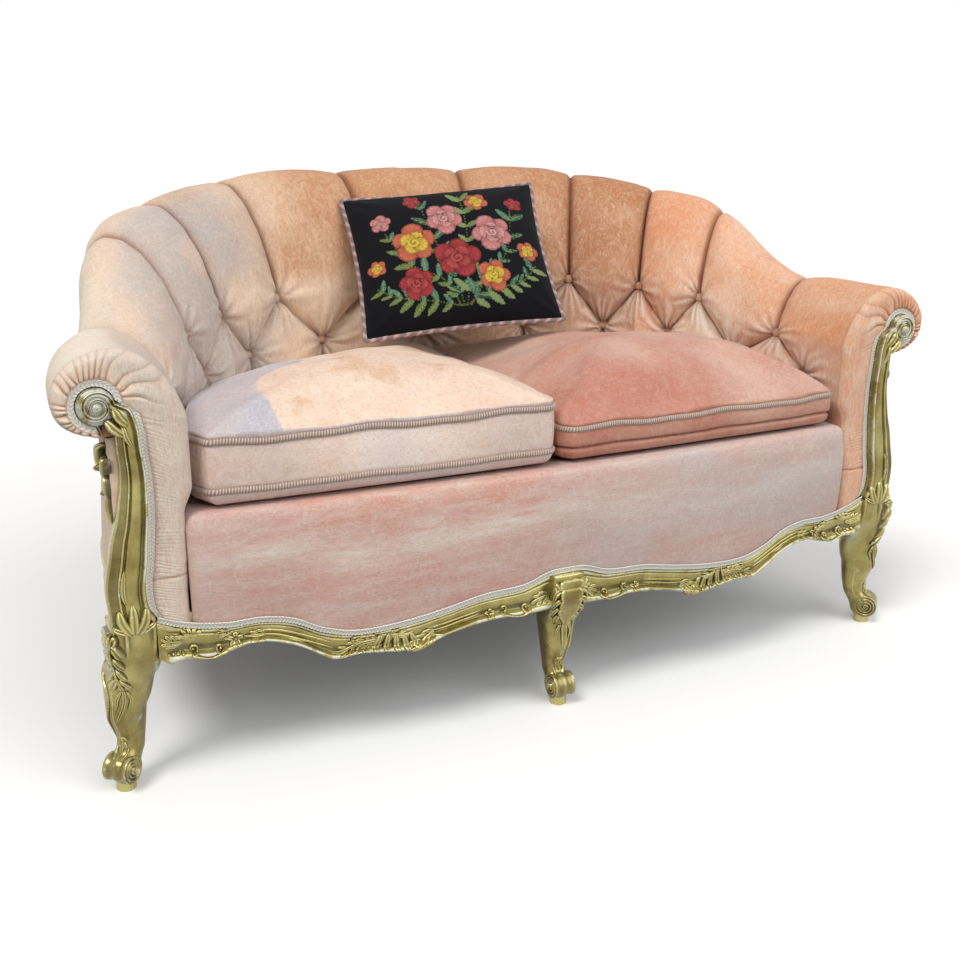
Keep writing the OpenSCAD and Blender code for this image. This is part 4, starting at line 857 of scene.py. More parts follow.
def platform():
    """The plain cover of the seat under the cushions."""
    line = seat_outline(tub_xy(np.linspace(9.5, 170.5, 160), -1.4), 60, 76)
    c = np.array([0, 180.0])
    rings = []
    for q, drop in ((1, 75), (1, 4), (0.985, 1), (0.95, 0.4), (0.8, 0.4), (0.5, 0.4), (0.2, 0.4)):
        xy = c + (line - c) * q
        rings.append(np.concatenate([xy, (deck_z(xy[:, 1]) - drop)[:, None]], -1))
    P = np.stack(rings)
    velvet_grid("seat_platform", "_cover", P, M_BORDER, 0 * P[..., 0], wrap_v=True, caps=True, flip=True,
                pad=0.7)


def dust_sheet():
    """The cloth stretched under the seat, inside the seat rails."""
    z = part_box("dust_cover")[1][2] * 1000
    line = seat_outline(frame_xy(np.linspace(3, 177, 150), -31.5), 80, RAIL_T + 1.2)
    c = np.array([0, 250.0])
    P = np.stack([np.concatenate([c + (line - c) * q, np.full((len(line), 1), z - 0.6 + 1.2 * (q - 1))], -1)
                  for q in np.linspace(0.04, 1, 26)])
    ob = grid("dust_cover_cloth", P, M_BLACK, wrap_v=True, replaces=["dust_cover"], slot="lining")


border()
platform()
dust_sheet()


# Ropes, cords and gimp
def rope(name, path, r, mat, node, body="root", ply=3, lay=9.0, up=(0, 0, 1.0)):
    """A closed twisted rope of a few strands along a path."""
    step = lod(lay * ply / 4.5)
    P = resample(path, step=step, closed=True)
    n, m = len(P), 12
    T = unit(np.roll(P, -1, 0) - np.roll(P, 1, 0))
    U = unit(np.cross(T, np.asarray(up, float)))
    W = np.cross(U, T)
    laps = max(round((n - 1) * step / (lay * ply)), 1)
    a = np.arange(m) / m * 2 * np.pi
    ph = ply * (a[None, :] - (2 * np.pi * laps * np.arange(n) / n)[:, None])
    rr = (r * (0.84 + 0.18 * np.abs(np.cos(ph / 2)) ** 0.7))[..., None]
    V = P[:, None] + rr * (np.cos(a)[None, :, None] * U[:, None] + np.sin(a)[None, :, None] * W[:, None])
    strand = (np.floor((ph / (2 * np.pi)) % ply) == 0) * 1.0 if ply > 1 else 0.5 + 0.5 * np.cos(ph)
    grid(name, V, mat, wrap_u=True, wrap_v=True, flip=True, body=body, replaces=[node], slot="braid",
         attrs={"strand": strand})


GIMP_W, GIMP_T = 10, 2.0


def gimp(node, inner, across, normal):
    """A flat woven braid: inner edge line, unit vectors across it and out of the surface."""
    L = arc_len(inner)
    q = np.linspace(0, L[-1], int(L[-1] / lod(0.9)))
    along = lambda A: np.stack([np.interp(q, L, A[:, k]) for k in range(3)], -1)
    I, A, N = along(inner), unit(along(across)), unit(along(normal))
    v = np.linspace(0, 1, 17)[None, :]
    weave = (np.abs(np.sin(np.pi * (q[:, None] / 5.0 + 0.9 * np.abs(v - 0.5) * 2)))
             * (1 - 0.5 * bell(v - 0.5, 0.08)))
    lip = bell(v - 0.06, 0.06) + bell(v - 0.94, 0.06)
    h = GIMP_T * (0.35 + 0.45 * weave + 0.35 * lip) * ease(np.minimum(v, 1 - v) / 0.05)
    P = I[:, None] + A[:, None] * (v[..., None] * GIMP_W) + N[:, None] * h[..., None]
    grid(node + "_braid", P, M_GIMP, replaces=[node], slot="braid",
         attrs={"strand": clamp(1.3 * weave - 0.3)})


def post_gimp(side):
    (ix, iz), (dx, dz) = FRONT_IN.T, unit(FRONT_OUT - FRONT_IN).T
    gimp("post_gimp_" + hand(side), points(side * ix, ARM_Y - FRONT_T * FRONT_SHARES[0][1] - 0.3, iz),
         points(side * dx, -0.18, dz), points(0 * ix, -1, 0))


def border_gimp():
    x = np.linspace(-636, 636, 560)
    y = rail_y(x) - 2.2
    y = np.where(np.abs(x) > 584, np.minimum(y, -26.4), y)
    gimp("border_gimp", points(x, y, rail_top(x) + 0.7), points(0 * x, -0.3, 1), points(0 * x, -1, -0.2))


post_gimp(1)
post_gimp(-1)
border_gimp()


# Tuft buttons
def buttons():
    """Covered buttons on the tufts, pulled in where the padding is sewn."""
    spots = [(t, 1) for t in (*SEAMS, *(180 - SEAMS))] + [(t, TUFT_S) for t in (*MIDS, *(180 - MIDS[:-1]))]
    rings = [(0.98, 0.0), (1.0, 0.25), (0.9, 0.62), (0.66, 0.88), (0.36, 0.98)]
    n, a = 24, np.arange(24) / 24 * 2 * np.pi
    count = len(rings) * n + 1
    V, F, pale, cool = [], [], [], []
    for i, (t, s) in enumerate(spots):
        p = pad_at(t, s)
        w = tub_xy(t + 0.5) - tub_xy(t - 0.5)
        out = unit(np.array([-w[1], w[0], 0.0]))
        if np.dot(out[:2], p[:2] - np.array([0, 150])) > 0:
            out = -out
        out = unit(out + np.array([0, 0, 0.25]))
        u = unit(np.cross(out, [0, 0, 1.0]))
        v = np.cross(u, out)
        V += [p + out * (1.5 + 5.5 * h) + 8.2 * r * (np.cos(a)[:, None] * u + np.sin(a)[:, None] * v)
              for r, h in rings]
        V.append((p + out * 7.1)[None])
        F.append(grid_faces(len(rings), n, wrap_v=True, base=i * count))
        F.append(fan(i * count + (len(rings) - 1) * n + np.arange(n), (i + 1) * count - 1))
        # Buttons take the padding's pale and grey by turn, with its painted sunlight and shade, and painted
        # shade by deep
        pale += [float(curve_at(PALE_T, t)) + 0.2] * count
        cool += [float(curve_at(COOL_T, t))] * count
    V = np.concatenate(V)
    make("tuft_button_covers", V, F, M_BACK, replaces=["tuft_buttons"], slot="velvet",
         attrs={"pale": np.array(pale), "cool": np.array(cool), "deep": np.full(len(V), 0.25)})


buttons()


# Seat cushions
GAP, SEAM_LOW, SHOULDER, CROWN = 3.6, 22, 9.5, 170
CUSH_HALF = TUB_HALF - float(swell_depth(0.0)) - GAP
# How far in and how high the underside and lower edge of a cushion lie
CUSHION_FOOT = [(150, 0), (60, 0), (26, 0.3), (14, 1.6), (7, 4.5), (2.5, 9), (0.2, 14), (-0.3, 17), (1.6, 20),
                (6.4, SEAM_LOW)]
# Height of the front's upper seam on each cushion, and where the painted patch of sunlight on the left one
# begins: x by y
SEAM_HIGH = {-1: 92, 1: 52}
SUN_PATCH_EDGE = [[-95, -430], [-42, -445], [87, -451], [130, -436], [173, -416], [211, -352], [260, -330],
             [420, -320]]


def cushion_front(x):
    return -20 - 16 * (1 - (x / CUSH_HALF) ** 2)


def seam_top(side, y):
    return mix(SEAM_HIGH[side], 122, clamp((y + 20) / (TUB_D - 30.6)))


def cushion_line(n):
    """Outline (x, y) of the right cushion's boxing, from its front corner at the middle of the seat."""
    k = np.linspace(0.035, 0.965, 60)
    front = points(k * CUSH_HALF, cushion_front(k * CUSH_HALF))
    t = np.linspace(3.5, 84, 110)
    rim = tub_xy(t, -(swell_depth(t) + GAP))
    back = tub_xy(90, -(27 + GAP))[1]
    mid = points(np.full(40, GAP), mix(cushion_front(0), back, np.linspace(0.97, 0.045, 40)))
    return smooth_ring(resample(np.concatenate([front, rim, [[14, back - 0.5]], mid]), n=n, closed=True))


def seam_wave(line):
    return 1.8 * np.sin(line[..., 0] / 38 + line[..., 1] / 51) + 1.0 * np.sin(line[..., 0] / 17 + 2)


UNDER, BOXING, EDGE, TOP = range(4)


def cushion_rings(side, line, bulge):
    """Closed rings (xy, height over the platform, part) up the shape of a cushion on the right."""
    out, c, wave = ring_side(line), line.mean(0) + np.array([0, -15]), seam_wave(line)
    up = seam_top(side, line[:, 1]) + wave
    rings = []
    for d, h in CUSHION_FOOT:
        xy = line - out * d if d < 60 else c + (line - c) * (1 - d / 330)
        rings.append((xy, h + 0.5 * wave * h / SEAM_LOW, UNDER))
    for k in np.linspace(0, 1, 26)[1:-1]:
        d = 5.5 * max(1 - min(k, 1 - k) / 0.12, 0) ** 2
        rings.append((line - out * (d - bulge * np.sin(np.pi * k)), mix(SEAM_LOW + 0.5 * wave, up, k),
                      BOXING))
    rings.append((line - out * 6.4, up, BOXING))
    rings += [(line - out * d, up + h, EDGE) for d, h in [(3.0, 3.0), (0.8, 6.0), (0.6, SHOULDER)]]
    for q in 1 - np.linspace(0.012, 1, lod(70)) ** 1.15:
        xy = c + (line - c) * q
        rings.append((xy, mix(CROWN, seam_top(side, xy[:, 1]) + SHOULDER, q ** 2.3), TOP))
    return rings, c, up


def cushion(side, mat, slot, bulge, soft, seed):
    """A boxed seat cushion with soft dents, puckers at the seams and creases from the corners."""
    line = cushion_line(lod(520))
    rings, c, up = cushion_rings(side, line, bulge)
    P = np.stack([np.concatenate([xy, (deck_z(xy[:, 1]) + BED + h)[:, None]], -1) for xy, h, _ in rings])
    kind = np.array([part for _, _, part in rings])[:, None] + 0 * P[..., 0]
    N = normals(P)
    if N[len(rings) // 2, 10] @ np.array([*ring_side(line)[10], 0]) < 0:
        N = -N
    edge = np.linalg.norm(P[..., :2] - c, axis=-1) / np.maximum(np.linalg.norm(line - c, axis=1)[None], 1)
    place = np.broadcast_to(np.arange(len(line))[None] * 1.0, edge.shape)
    top, boxed = (kind == TOP).astype(float), (kind == BOXING).astype(float)
    dents = vnoise(P / 150, seed) * soft * 2.2 + vnoise(P / 62, seed + 1) * soft
    pucker = np.cos(place * 0.55 + 3 * vnoise(P / 40, seed + 2)) * (np.exp(-(1 - edge) * 9) * top) * 0.9
    pucker = pucker * (0.6 + 0.6 * vnoise(P / 90, seed + 3))
    ang = np.arctan2(P[..., 1] - c[1], P[..., 0] - c[0])
    ray = (np.cos(ang * 9 + 2.5 * vnoise(P / 130, seed + 4)) * ease((edge - 0.25) / 0.5) * (1 - 0.3 * edge)
           * soft * 0.7)
    ribs = 0.35 * np.cos(place * 1.9) * boxed * soft / 4
    wave = 1.1 * vnoise(P / 55, seed + 5) * boxed
    wrinkle = ease((1 - np.abs(vnoise(P / np.array([90, 46, 90]), seed + 6)) - 0.86) / 0.14)
    wrinkle = wrinkle * top * (0.5 + 0.5 * vnoise(P / 120, seed + 8))
    lift = (dents * top * (1 - 0.75 * ease((edge - 0.7) / 0.3)) + pucker + ray * top + ribs + wave
            + 1.1 * wrinkle)
    lift = lift * (np.where(kind == UNDER, 0.0, 1.0) * clamp((P[..., 2] - DECK_H + 10) / 20))
    P = P + N * lift[..., None]
    P[..., 0] = np.maximum(P[..., 0], 0.8)
    P[..., 0] *= side
    x, y, z = P[..., 0], P[..., 1], P[..., 2]
    patch = vnoise(P / 95, seed + 7)
    if side < 0:
        # A painted patch of sunlight with a torn-looking edge; painted shadow of the arm and back, in grey,
        # to its left and behind it
        sunlit_field = ease((x - (curve_at(SUN_PATCH_EDGE, y) + 4 * vnoise(P / 20, 51))) / 6) * top
        stain = clamp(1.6 * vnoise(P / np.array([40, 84, 60]), 52) + 0.6 * vnoise(P / 19, 53) - 0.25)
        stain = stain * (1 - 0.6 * ease((x + 120) / 90))
        front = 0.62 + 0.38 * bell(x + 280, 110) + 0.25 * patch
        pale = clamp(np.where(boxed > 0, front, mix(0.6 + 0.3 * patch, 0.5 - 0.45 * stain, sunlit_field)))
        grey = 0.1 + 0.42 * (1 - ease((x + 470) / 120)) + 0.35 * ease((x + 190) / 120) + 0.3 * patch
        cool = clamp(mix(0.95, 0.0, sunlit_field) * top + boxed * grey + (kind != TOP) * (kind != BOXING) * 0.6)
    else:
        pale = clamp(0.12 + 0.45 * patch + 0.25 * top * ease((y - 60) / 250) + 0.3 * np.abs(ray) / soft * top)
        cool = clamp(0.1 + 0.3 * vnoise(P / 80, seed + 9)) * top
    deep = (0.55 * bell(z - (deck_z(y) + BED + up[None]), 4)
            + 0.4 * bell(z - deck_z(y) - SEAM_LOW, 4) * (kind < EDGE))
    node = "seat_cushion_" + hand(side)
    velvet_grid(node, "_cover", P, mat, pale, cool, clamp(deep), slot, body=node, wrap_v=True, caps=True,
                flip=side > 0, pad=0.8)


def seam_rope(side, share):
    """Path of the rope on a cushion's lower (share 0) or upper (share 1) seam."""
    line = cushion_line(400)
    line = line - ring_side(line) * BED
    h = mix(SEAM_LOW, seam_top(side, line[:, 1]), share) + seam_wave(line) * mix(0.5, 1, share)
    P = np.concatenate([line, (deck_z(line[:, 1]) + BED + h)[:, None]], -1)
    P[:, 0] = np.maximum(P[:, 0], 4.4) * side
    return P


cushion(-1, M_LEFT, "faded_velvet", 2.2, 3.4, 40)
cushion(1, M_RIGHT, "velvet", 2.0, 4.0, 60)
for side, level, share in ((-1, "_low", 0), (-1, "_high", 1), (1, "_high", 1)):
    node = "cushion_rope_" + hand(side)
    rope(node + level, seam_rope(side, share), 4.7, M_TRIM, node, body="seat_cushion_" + hand(side), ply=1,
         lay=4.2)


# Throw pillow with needlework roses
PW, PH, PT = 366, 304, 104
PILLOW_C = np.array([10, TUB_D - 134.0, DECK_H + CROWN + 109.0])


def turn(axis, deg):
    c, s = math.cos(math.radians(deg)), math.sin(math.radians(deg))
    i, j = {"x": (1, 2), "y": (2, 0), "z": (0, 1)}[axis]
    R = np.eye(3)
    R[i, i] = R[j, j] = c
    R[i, j], R[j, i] = -s, s
    return R


PILLOW_R = turn("z", -17) @ turn("x", -40) @ turn("y", -5.5)


def pillow_place(P):
    return P @ PILLOW_R.T + PILLOW_C


def bowed(along, across, half):
    return along * (1 - 0.055 * (1 - across ** 2) * along ** 4) * half


def rose(u, v, cx, cy, r, tints, turn_):
    """Colour and cover of a stitched rose: two rings of lit petals round a whorled heart."""
    x, y = (u - cx) / r, (v - cy) / r
    col, on = np.zeros(u.shape + (3,)), np.zeros(u.shape, bool)
    for count, out, size, lo, hi in ((5, 0.55, 0.47, *tints[:2]), (4, 0.27, 0.36, *tints[2:])):
        for i in range(count):
            a = turn_ + 2 * math.pi * (i + 0.5 * (count == 4)) / count
            px, py = x - out * math.cos(a), y - out * math.sin(a)
            d = np.hypot(px, py) / (size * (1 + 0.08 * math.sin(3 * i + cx)))
            lit = (0.5 + 0.5 * (px * math.cos(a) + py * math.sin(a)) / size
                   + 0.12 * np.cos(9 * np.arctan2(py, px)))
            tone = mix(lo, hi, clamp(lit)[..., None]) * np.where(d > 0.86, 0.55, 1)[..., None]
            col = np.where((d < 1)[..., None], tone, col)
            on = on | (d < 1)
    d, a = np.hypot(x, y), np.arctan2(y, x)
    whorl = clamp((d * 5 + a / (2 * np.pi)) % 1 * 1.3)[..., None]
    return np.where((d < 0.27)[..., None], mix(tints[2] * 0.55, tints[3], whorl), col), on


def leaf_stitch(u, v, root, length, ang):
    """Cover of a stitched leaf, and its veins."""
    c, s = math.cos(ang), math.sin(ang)
    du, dv = u - root[0], v - root[1]
    x, y = (du * c + dv * s) / length, (-du * s + dv * c) / length
    half = 0.24 * np.sqrt(clamp(1 - (2 * x - 1) ** 2)) * (1 - 0.35 * x)
    on = (x > 0) & (x < 1) & (np.abs(y) < half * (0.9 + 0.12 * np.sin(x * 40)))
    vein = (np.abs(y) < 0.022) | (np.abs((x - np.abs(y) * 1.4) * 9 % 1 - 0.5) < 0.09)
    return on, vein


# Lines that fan out from low in the middle: where each starts, turns and ends
STEMS = [[(-6, -118), (-30, -70), (-84, -30), (-118, 40)], [(0, -118), (-14, -50), (-34, 20), (-48, 104)],
         [(6, -118), (20, -40), (30, 40), (28, 112)], [(12, -118), (52, -70), (96, -20), (118, 66)],
         [(4, -118), (60, -96), (110, -86), (142, -54)], [(-4, -118), (-60, -104), (-112, -92), (-146, -66)]]
WOOL_GREENS = [(58, 112, 96), (118, 134, 72), (44, 92, 70), (150, 168, 110), (84, 138, 120)]
# Low and high tone of the outer petals, then of the inner ones
WOOL_ROSES = {"red": [(116, 22, 34), (196, 76, 78), (88, 12, 24), (214, 96, 92)],
              "pink": [(170, 66, 78), (240, 164, 160), (140, 40, 56), (246, 186, 176)],
              "gold": [(176, 62, 52), (232, 130, 100), (190, 120, 30), (250, 222, 96)]}
# Middle, radius, wool and turn of each flower
BLOOMS = [(-70, 12, 40, "gold", 0.3), (-8, 58, 34, "pink", 1.0), (2, -28, 41, "red", 0.1),
          (74, 18, 38, "pink", 0.7), (62, -70, 30, "gold", 1.2), (-78, -70, 31, "red", 0.5),
          (-122, 66, 19, "pink", 0.2), (58, 92, 22, "gold", 0.9), (128, 84, 16, "red", 0.4),
          (-58, 108, 17, "red", 0.8), (134, -22, 20, "gold", 0.0), (-142, -26, 16, "gold", 0.6)]
STITCH = 1.6


def needlework(u, v):
    """Stitch colours of the pillow's face: a dark ground, stems with leaves, then roses and buds."""
    u, v = np.round(u / STITCH) * STITCH, np.round(v / STITCH) * STITCH
    C = np.zeros(u.shape + (3,)) + np.array(srgb(14, 15, 20))
    C = C * (0.85 + 0.3 * (vnoise(points(u / 2, v / 2, 0 * u), 5)[..., None] * 0.5 + 0.5))
    greens = [np.array(srgb(*c)) for c in WOOL_GREENS]
    stems = [spline(points, 40) for points in STEMS]
    for P in stems:
        C[np.min([np.hypot(u - x, v - y) for x, y in P], axis=0) < 1.5] = greens[1] * 0.8
    for i, P in enumerate(stems):
        for j in range(5, 38, 5):
            d = P[j + 1] - P[j - 1]
            for way in (-1, 1):
                a = math.atan2(d[1], d[0]) + way * (0.85 + 0.2 * math.sin(i + j))
                on, vein = leaf_stitch(u, v, P[j], 27 + 7 * math.sin(2.3 * j + i), a)
                C[on] = greens[(i + j + way) % 5]
                C[on & vein] = greens[3]
    for cx, cy, r, kind, turn_ in BLOOMS:
        col, on = rose(u, v, cx, cy, r, [np.array(srgb(*c)) for c in WOOL_ROSES[kind]], turn_)
        C = np.where(on[..., None], col, C)
    return C


def needle_cloth():
    """Wool stitches on a fine canvas, by attribute stitch."""
    m = Mat("needlework", Roughness=0.9, Sheen_Weight=0.03, Specular_IOR_Level=0.12)
    cells = m.n("ShaderNodeTexVoronoi", voronoi_dimensions="2D", feature="F1", Vector=m.uv(), Scale=1.0,
                Randomness=0.15)
    dot = m.ramp(cells.outputs["Distance"], (0.2, 1.0), (0.62, 0.0))
    yarn = m.mul(m.noise(m.obj(), 900, detail=2), 0.4)
    col = m.mixc(m.math("SUBTRACT", 1.0, dot), m.attr("stitch", "Color"), (0.006, 0.005, 0.006))
    col = m.mixc(0.28, col, m.attr("stitch", "Color"))
    return m.set(Base_Color=col, Normal=m.bump(m.add(dot, yarn), 0.45, 0.0009))


def pillow():
    """Two bowed faces with pointed corners, creased towards them and puckered along the cord."""
    m, n = lod(260), lod(310)
    a, b = np.meshgrid(np.linspace(-1, 1, m), np.linspace(-1, 1, n), indexing="ij")
    x, z = bowed(b, a, PW / 2 - 3), bowed(a, b, PH / 2 - 3)
    in_a, in_b = 1 - np.abs(a), 1 - np.abs(b)
    body = ((1 - np.abs(a) ** 2.6) * (1 - np.abs(b) ** 2.6)) ** 0.52
    corner = np.exp(-(in_a ** 2 + in_b ** 2) / 0.16)
    folds = np.cos(np.arctan2(in_a, in_b) * 10) * corner * body * 4.5
    q = points(x / 60, z / 60, 0 * x)
    puck = np.cos(x / 5.5 + 2 * vnoise(q * 2, 3)) * np.exp(-in_a / 0.05) * 0.8
    puck = puck + np.cos(z / 5.5 + 2 * vnoise(q * 2, 8)) * np.exp(-in_b / 0.05) * 0.8
    faces = []
    for face in (1, -1):
        h = PT / 2 * body * (1 + 0.05 * vnoise(q + face * 7, 2)) + (folds + puck) * ease(body / 0.3)
        h = h + 2.0 * vnoise(q * 1.6 + 5 * face, 6) * body
        faces.append(points(x, -face * np.maximum(h, 0.05), z).reshape(-1, 3))
    F = np.concatenate([grid_faces(m, n, flip=True), grid_faces(m, n, base=m * n)])
    plain = np.zeros(x.shape + (3,)) + np.array(srgb(14, 14, 18))
    uv = np.concatenate([points(x, z).reshape(-1, 2)] * 2) / STITCH
    make("throw_pillow_cover", pillow_place(np.concatenate(faces)), F, needle_cloth(), body="throw_pillow",
         replaces=["throw_pillow"], slot="needlework", uv=uv, pad=0.75,
         attrs={"stitch": np.concatenate([c.reshape(-1, 3) for c in (needlework(x, z), plain)])})
    e = np.linspace(-1, 1, 90)[:-1]
    one = np.ones_like(e)
    a, b = np.concatenate([-one, e, one, -e]), np.concatenate([e, one, -e, -one])
    line = smooth_ring(points(bowed(b, a, PW / 2 - 1), 0 * a, bowed(a, b, PH / 2 - 1)))
    rope("pillow_cord_braid", pillow_place(line), 4.4, M_CORD, "pillow_cord", body="throw_pillow", lay=7,
         up=PILLOW_R @ np.array([0, 1.0, 0]))


pillow()


# Carving
class Carving:
    """Raised strokes, scrolls, leaves and beads, laid on a surface by place(u, v, height)."""
    SINK = 2.5

    def __init__(self, place):
        self.place, self.V, self.F, self.low, self.base = place, [], [], [], 0

    def add(self, P, F, low):
        self.V.append(P.reshape(-1, 3))
        self.F.append(F + self.base)
        self.low.append((low + 0 * P[..., 0]).ravel())
        self.base += P.size // 3

    def stroke(self, path, wide, high, groove=0.0, taper=(0.5, 0.5)):
        """A swelling stroke along a path (u, v); taper is how early each end thins."""
        P = np.asarray(path, float)
        P = spline(P, 12 * len(P)) if len(P) > 2 else P
        P = resample(P, n=max(int(arc_len(P)[-1] / lod(1.1)), 8))
        n, m = len(P), 13
        k = np.linspace(0, 1, n)
        w = np.minimum(clamp(k / max(taper[0], 1e-3)), clamp((1 - k) / max(taper[1], 1e-3)))
        w = np.sqrt(clamp(w * (2 - w))) + 0.02
        v = np.linspace(-1, 1, m)[None, :]
        uv = P[:, None] + side_of(P)[:, None] * (v[..., None] * (wide * w)[:, None, None])
        h = np.sqrt(clamp(1 - v ** 2)) * (1 - groove * bell(v, 0.3))
        h = (high + self.SINK) * (0.35 + 0.65 * w)[:, None] * h - self.SINK
        # low paints shade where the stroke sinks into its ground and along its groove
        low = ease((np.abs(v) - 0.6) / 0.3) + 0.5 * groove * bell(v, 0.2)
        self.add(self.place(uv[..., 0], uv[..., 1], h), grid_faces(n, m), low)

    def strokes(self, *rows):
        """Strokes from rows of path, width, height, groove and the two tapers."""
        for path, wide, high, groove, *taper in rows:
            self.stroke(path, wide, high, groove, taper)

    def scroll(self, centre, r, a0, turns, wide, high, lead):
        """A lead-in path, then a spiral that winds in from radius r at angle a0."""
        t = np.linspace(0, 1, 40)
        a, rr = np.radians(a0 + 360 * turns * t), r * (1 - 0.8 * t)
        S = points(centre[0] + rr * np.cos(a), centre[1] + rr * np.sin(a))
        path = np.concatenate([spline([*lead, S[0]], 30)[:-1], S])
        self.stroke(resample(path, n=26), wide, high, taper=(0.35, 0.12))
        self.bead(centre, wide * 1.1, high * 1.15)

    def bead(self, c, r, high):
        a, b = np.meshgrid(np.linspace(0, np.pi / 2, 7), np.arange(16) / 16 * 2 * np.pi, indexing="ij")
        h = (high + self.SINK) * np.cos(a) - self.SINK
        Q = self.place(c[0] + r * np.sin(a) * np.cos(b), c[1] + r * np.sin(a) * np.sin(b), h)
        # low paints shade round the bead's foot
        self.add(Q, grid_faces(7, 16, wrap_v=True), ease((np.sin(a) - 0.65) / 0.3))

    def leaf(self, root, tip, wide, high=5.0, pairs=3, curl=0.0):
        """An acanthus leaf: pairs of lobes that sweep to the tip, and a ribbed spine."""
        root, tip = np.asarray(root, float), np.asarray(tip, float)
        L = np.hypot(*(tip - root))
        d = (tip - root) / L
        s = np.array([-d[1], d[0]])
        spine = lambda k: root + d * L * k + s * curl * L * math.sin(math.pi * k * 0.8)
        for i in range(pairs):
            k = 0.02 + 0.62 * i / pairs
            grow = math.sin(math.pi * (0.3 + 0.55 * (i + 0.5) / pairs))
            for side in (1, -1):
                path = [spine(k + step) + s * side * wide * out * grow
                        for step, out in ((0, 0), (0.16, 0.36), (0.42, 0.52))]
                self.stroke(path, wide * 0.21, high * (0.8 + 0.1 * i), groove=0.25, taper=(0.5, 0.4))
        path = [spine(k) for k in (0, 0.35, 0.7, 1)]
        self.stroke(path, wide * 0.2, high * 1.1, groove=0.25, taper=(0.3, 0.55))

    def flower(self, c, r, high=5.0, petals=5):
        for i in range(petals):
            a = 2 * math.pi * (i + 0.25) / petals
            e = np.array([math.cos(a), math.sin(a)])
            self.stroke([c + e * r * k for k in (0.15, 0.6, 1)], r * 0.4, high * 0.85, groove=0.3,
                        taper=(0.4, 0.3))
        self.bead(c, r * 0.32, high)


def crisp(A):
    """Adds a row close to the first and the last, so a cap doesn't round off the shading."""
    return np.concatenate([A[:1], mix(A[:1], A[1:2], 0.15), A[1:-1], mix(A[-1:], A[-2:-1], 0.15), A[-1:]])


def gilt_piece(node, bases, carvings=(), side=1):
    """Base grids and carvings joined as one gilt piece that stands for a node.

    A base is a grid that wraps round its second index, and its options: caps, flip, low and worn.
    """
    V, F, low, worn, n = [], [], [], [], 0
    for P, opt in bases:
        m, w = P.shape[:2]
        caps, flip = opt.get("caps"), opt.get("flip", False)
        marks = [opt.get(k, 0) + np.zeros((m, w)) for k in ("low", "worn")]
        if caps:
            P, *marks = (crisp(a) for a in (P, *marks))
            m += 2
        F.append(grid_faces(m, w, wrap_v=True, flip=flip) + n)
        V.append(P.reshape(-1, 3))
        low.append(marks[0].ravel())
        worn.append(marks[1].ravel())
        if caps:
            V.append(np.stack([P[0].mean(0), P[-1].mean(0)]))
            low.append(np.zeros(2))
            worn.append(np.zeros(2))
            F += [fan(np.arange(w), m * w, not flip) + n,
                  fan(np.arange(w) + (m - 1) * w, m * w + 1, flip) + n]
            n += 2
        n += m * w
    for c in carvings:
        V += c.V
        F += [f + n for f in c.F]
        low += c.low
        worn.append(np.zeros(c.base))
        n += c.base
    V = np.concatenate(V)
    if side < 0:
        V = V * np.array([-1, 1, 1.0])
        F = [f[:, ::-1] for f in F]
    make(node + "_gilded", V, F, M_GILT, replaces=[node], slot="gilt",
         attrs={"low": clamp(np.concatenate(low)), "worn": clamp(np.concatenate(worn))})


def steps(a, b, size):
    return np.linspace(a, b, max(int(abs(b - a) / lod(size)), 4))


# Front rail
# How far back the rail's face lies, up its height
RAIL_FACE = [[0, 3], [0.03, -1.5], [0.08, -4.8], [0.14, -5.8], [0.2, -4.6], [0.25, -0.6], [0.29, 2.4],
             [0.38, 3.0],
             [0.52, 1.5], [0.66, 0.7], [0.78, 0.6], [0.83, 1.8], [0.87, -0.8], [0.92, -1.8], [0.97, -0.6],
             [1, 1.4]]


def rail_under(x):
    return rail_low(x) + 15 * ease((np.abs(x) - 618) / 19)


def rail_out(x):
    return rail_y(x) - 11 * ease((np.abs(x) - 596) / 41)


# The moulding dies out where the rail runs into a corner leg
def die_out(x):
    return mix(1, 0.1, ease((np.abs(x) - 610) / 26))


def rail_face(x, z):
    low, high = rail_low(x), rail_top(x)
    return rail_out(x) + curve_at(RAIL_FACE, clamp((z - low) / (high - low))) * die_out(x)


def over_low(u, d):
    """The point (x, z) d millimetres above the rail's lower edge."""
    return u, float(rail_low(float(u))) + d


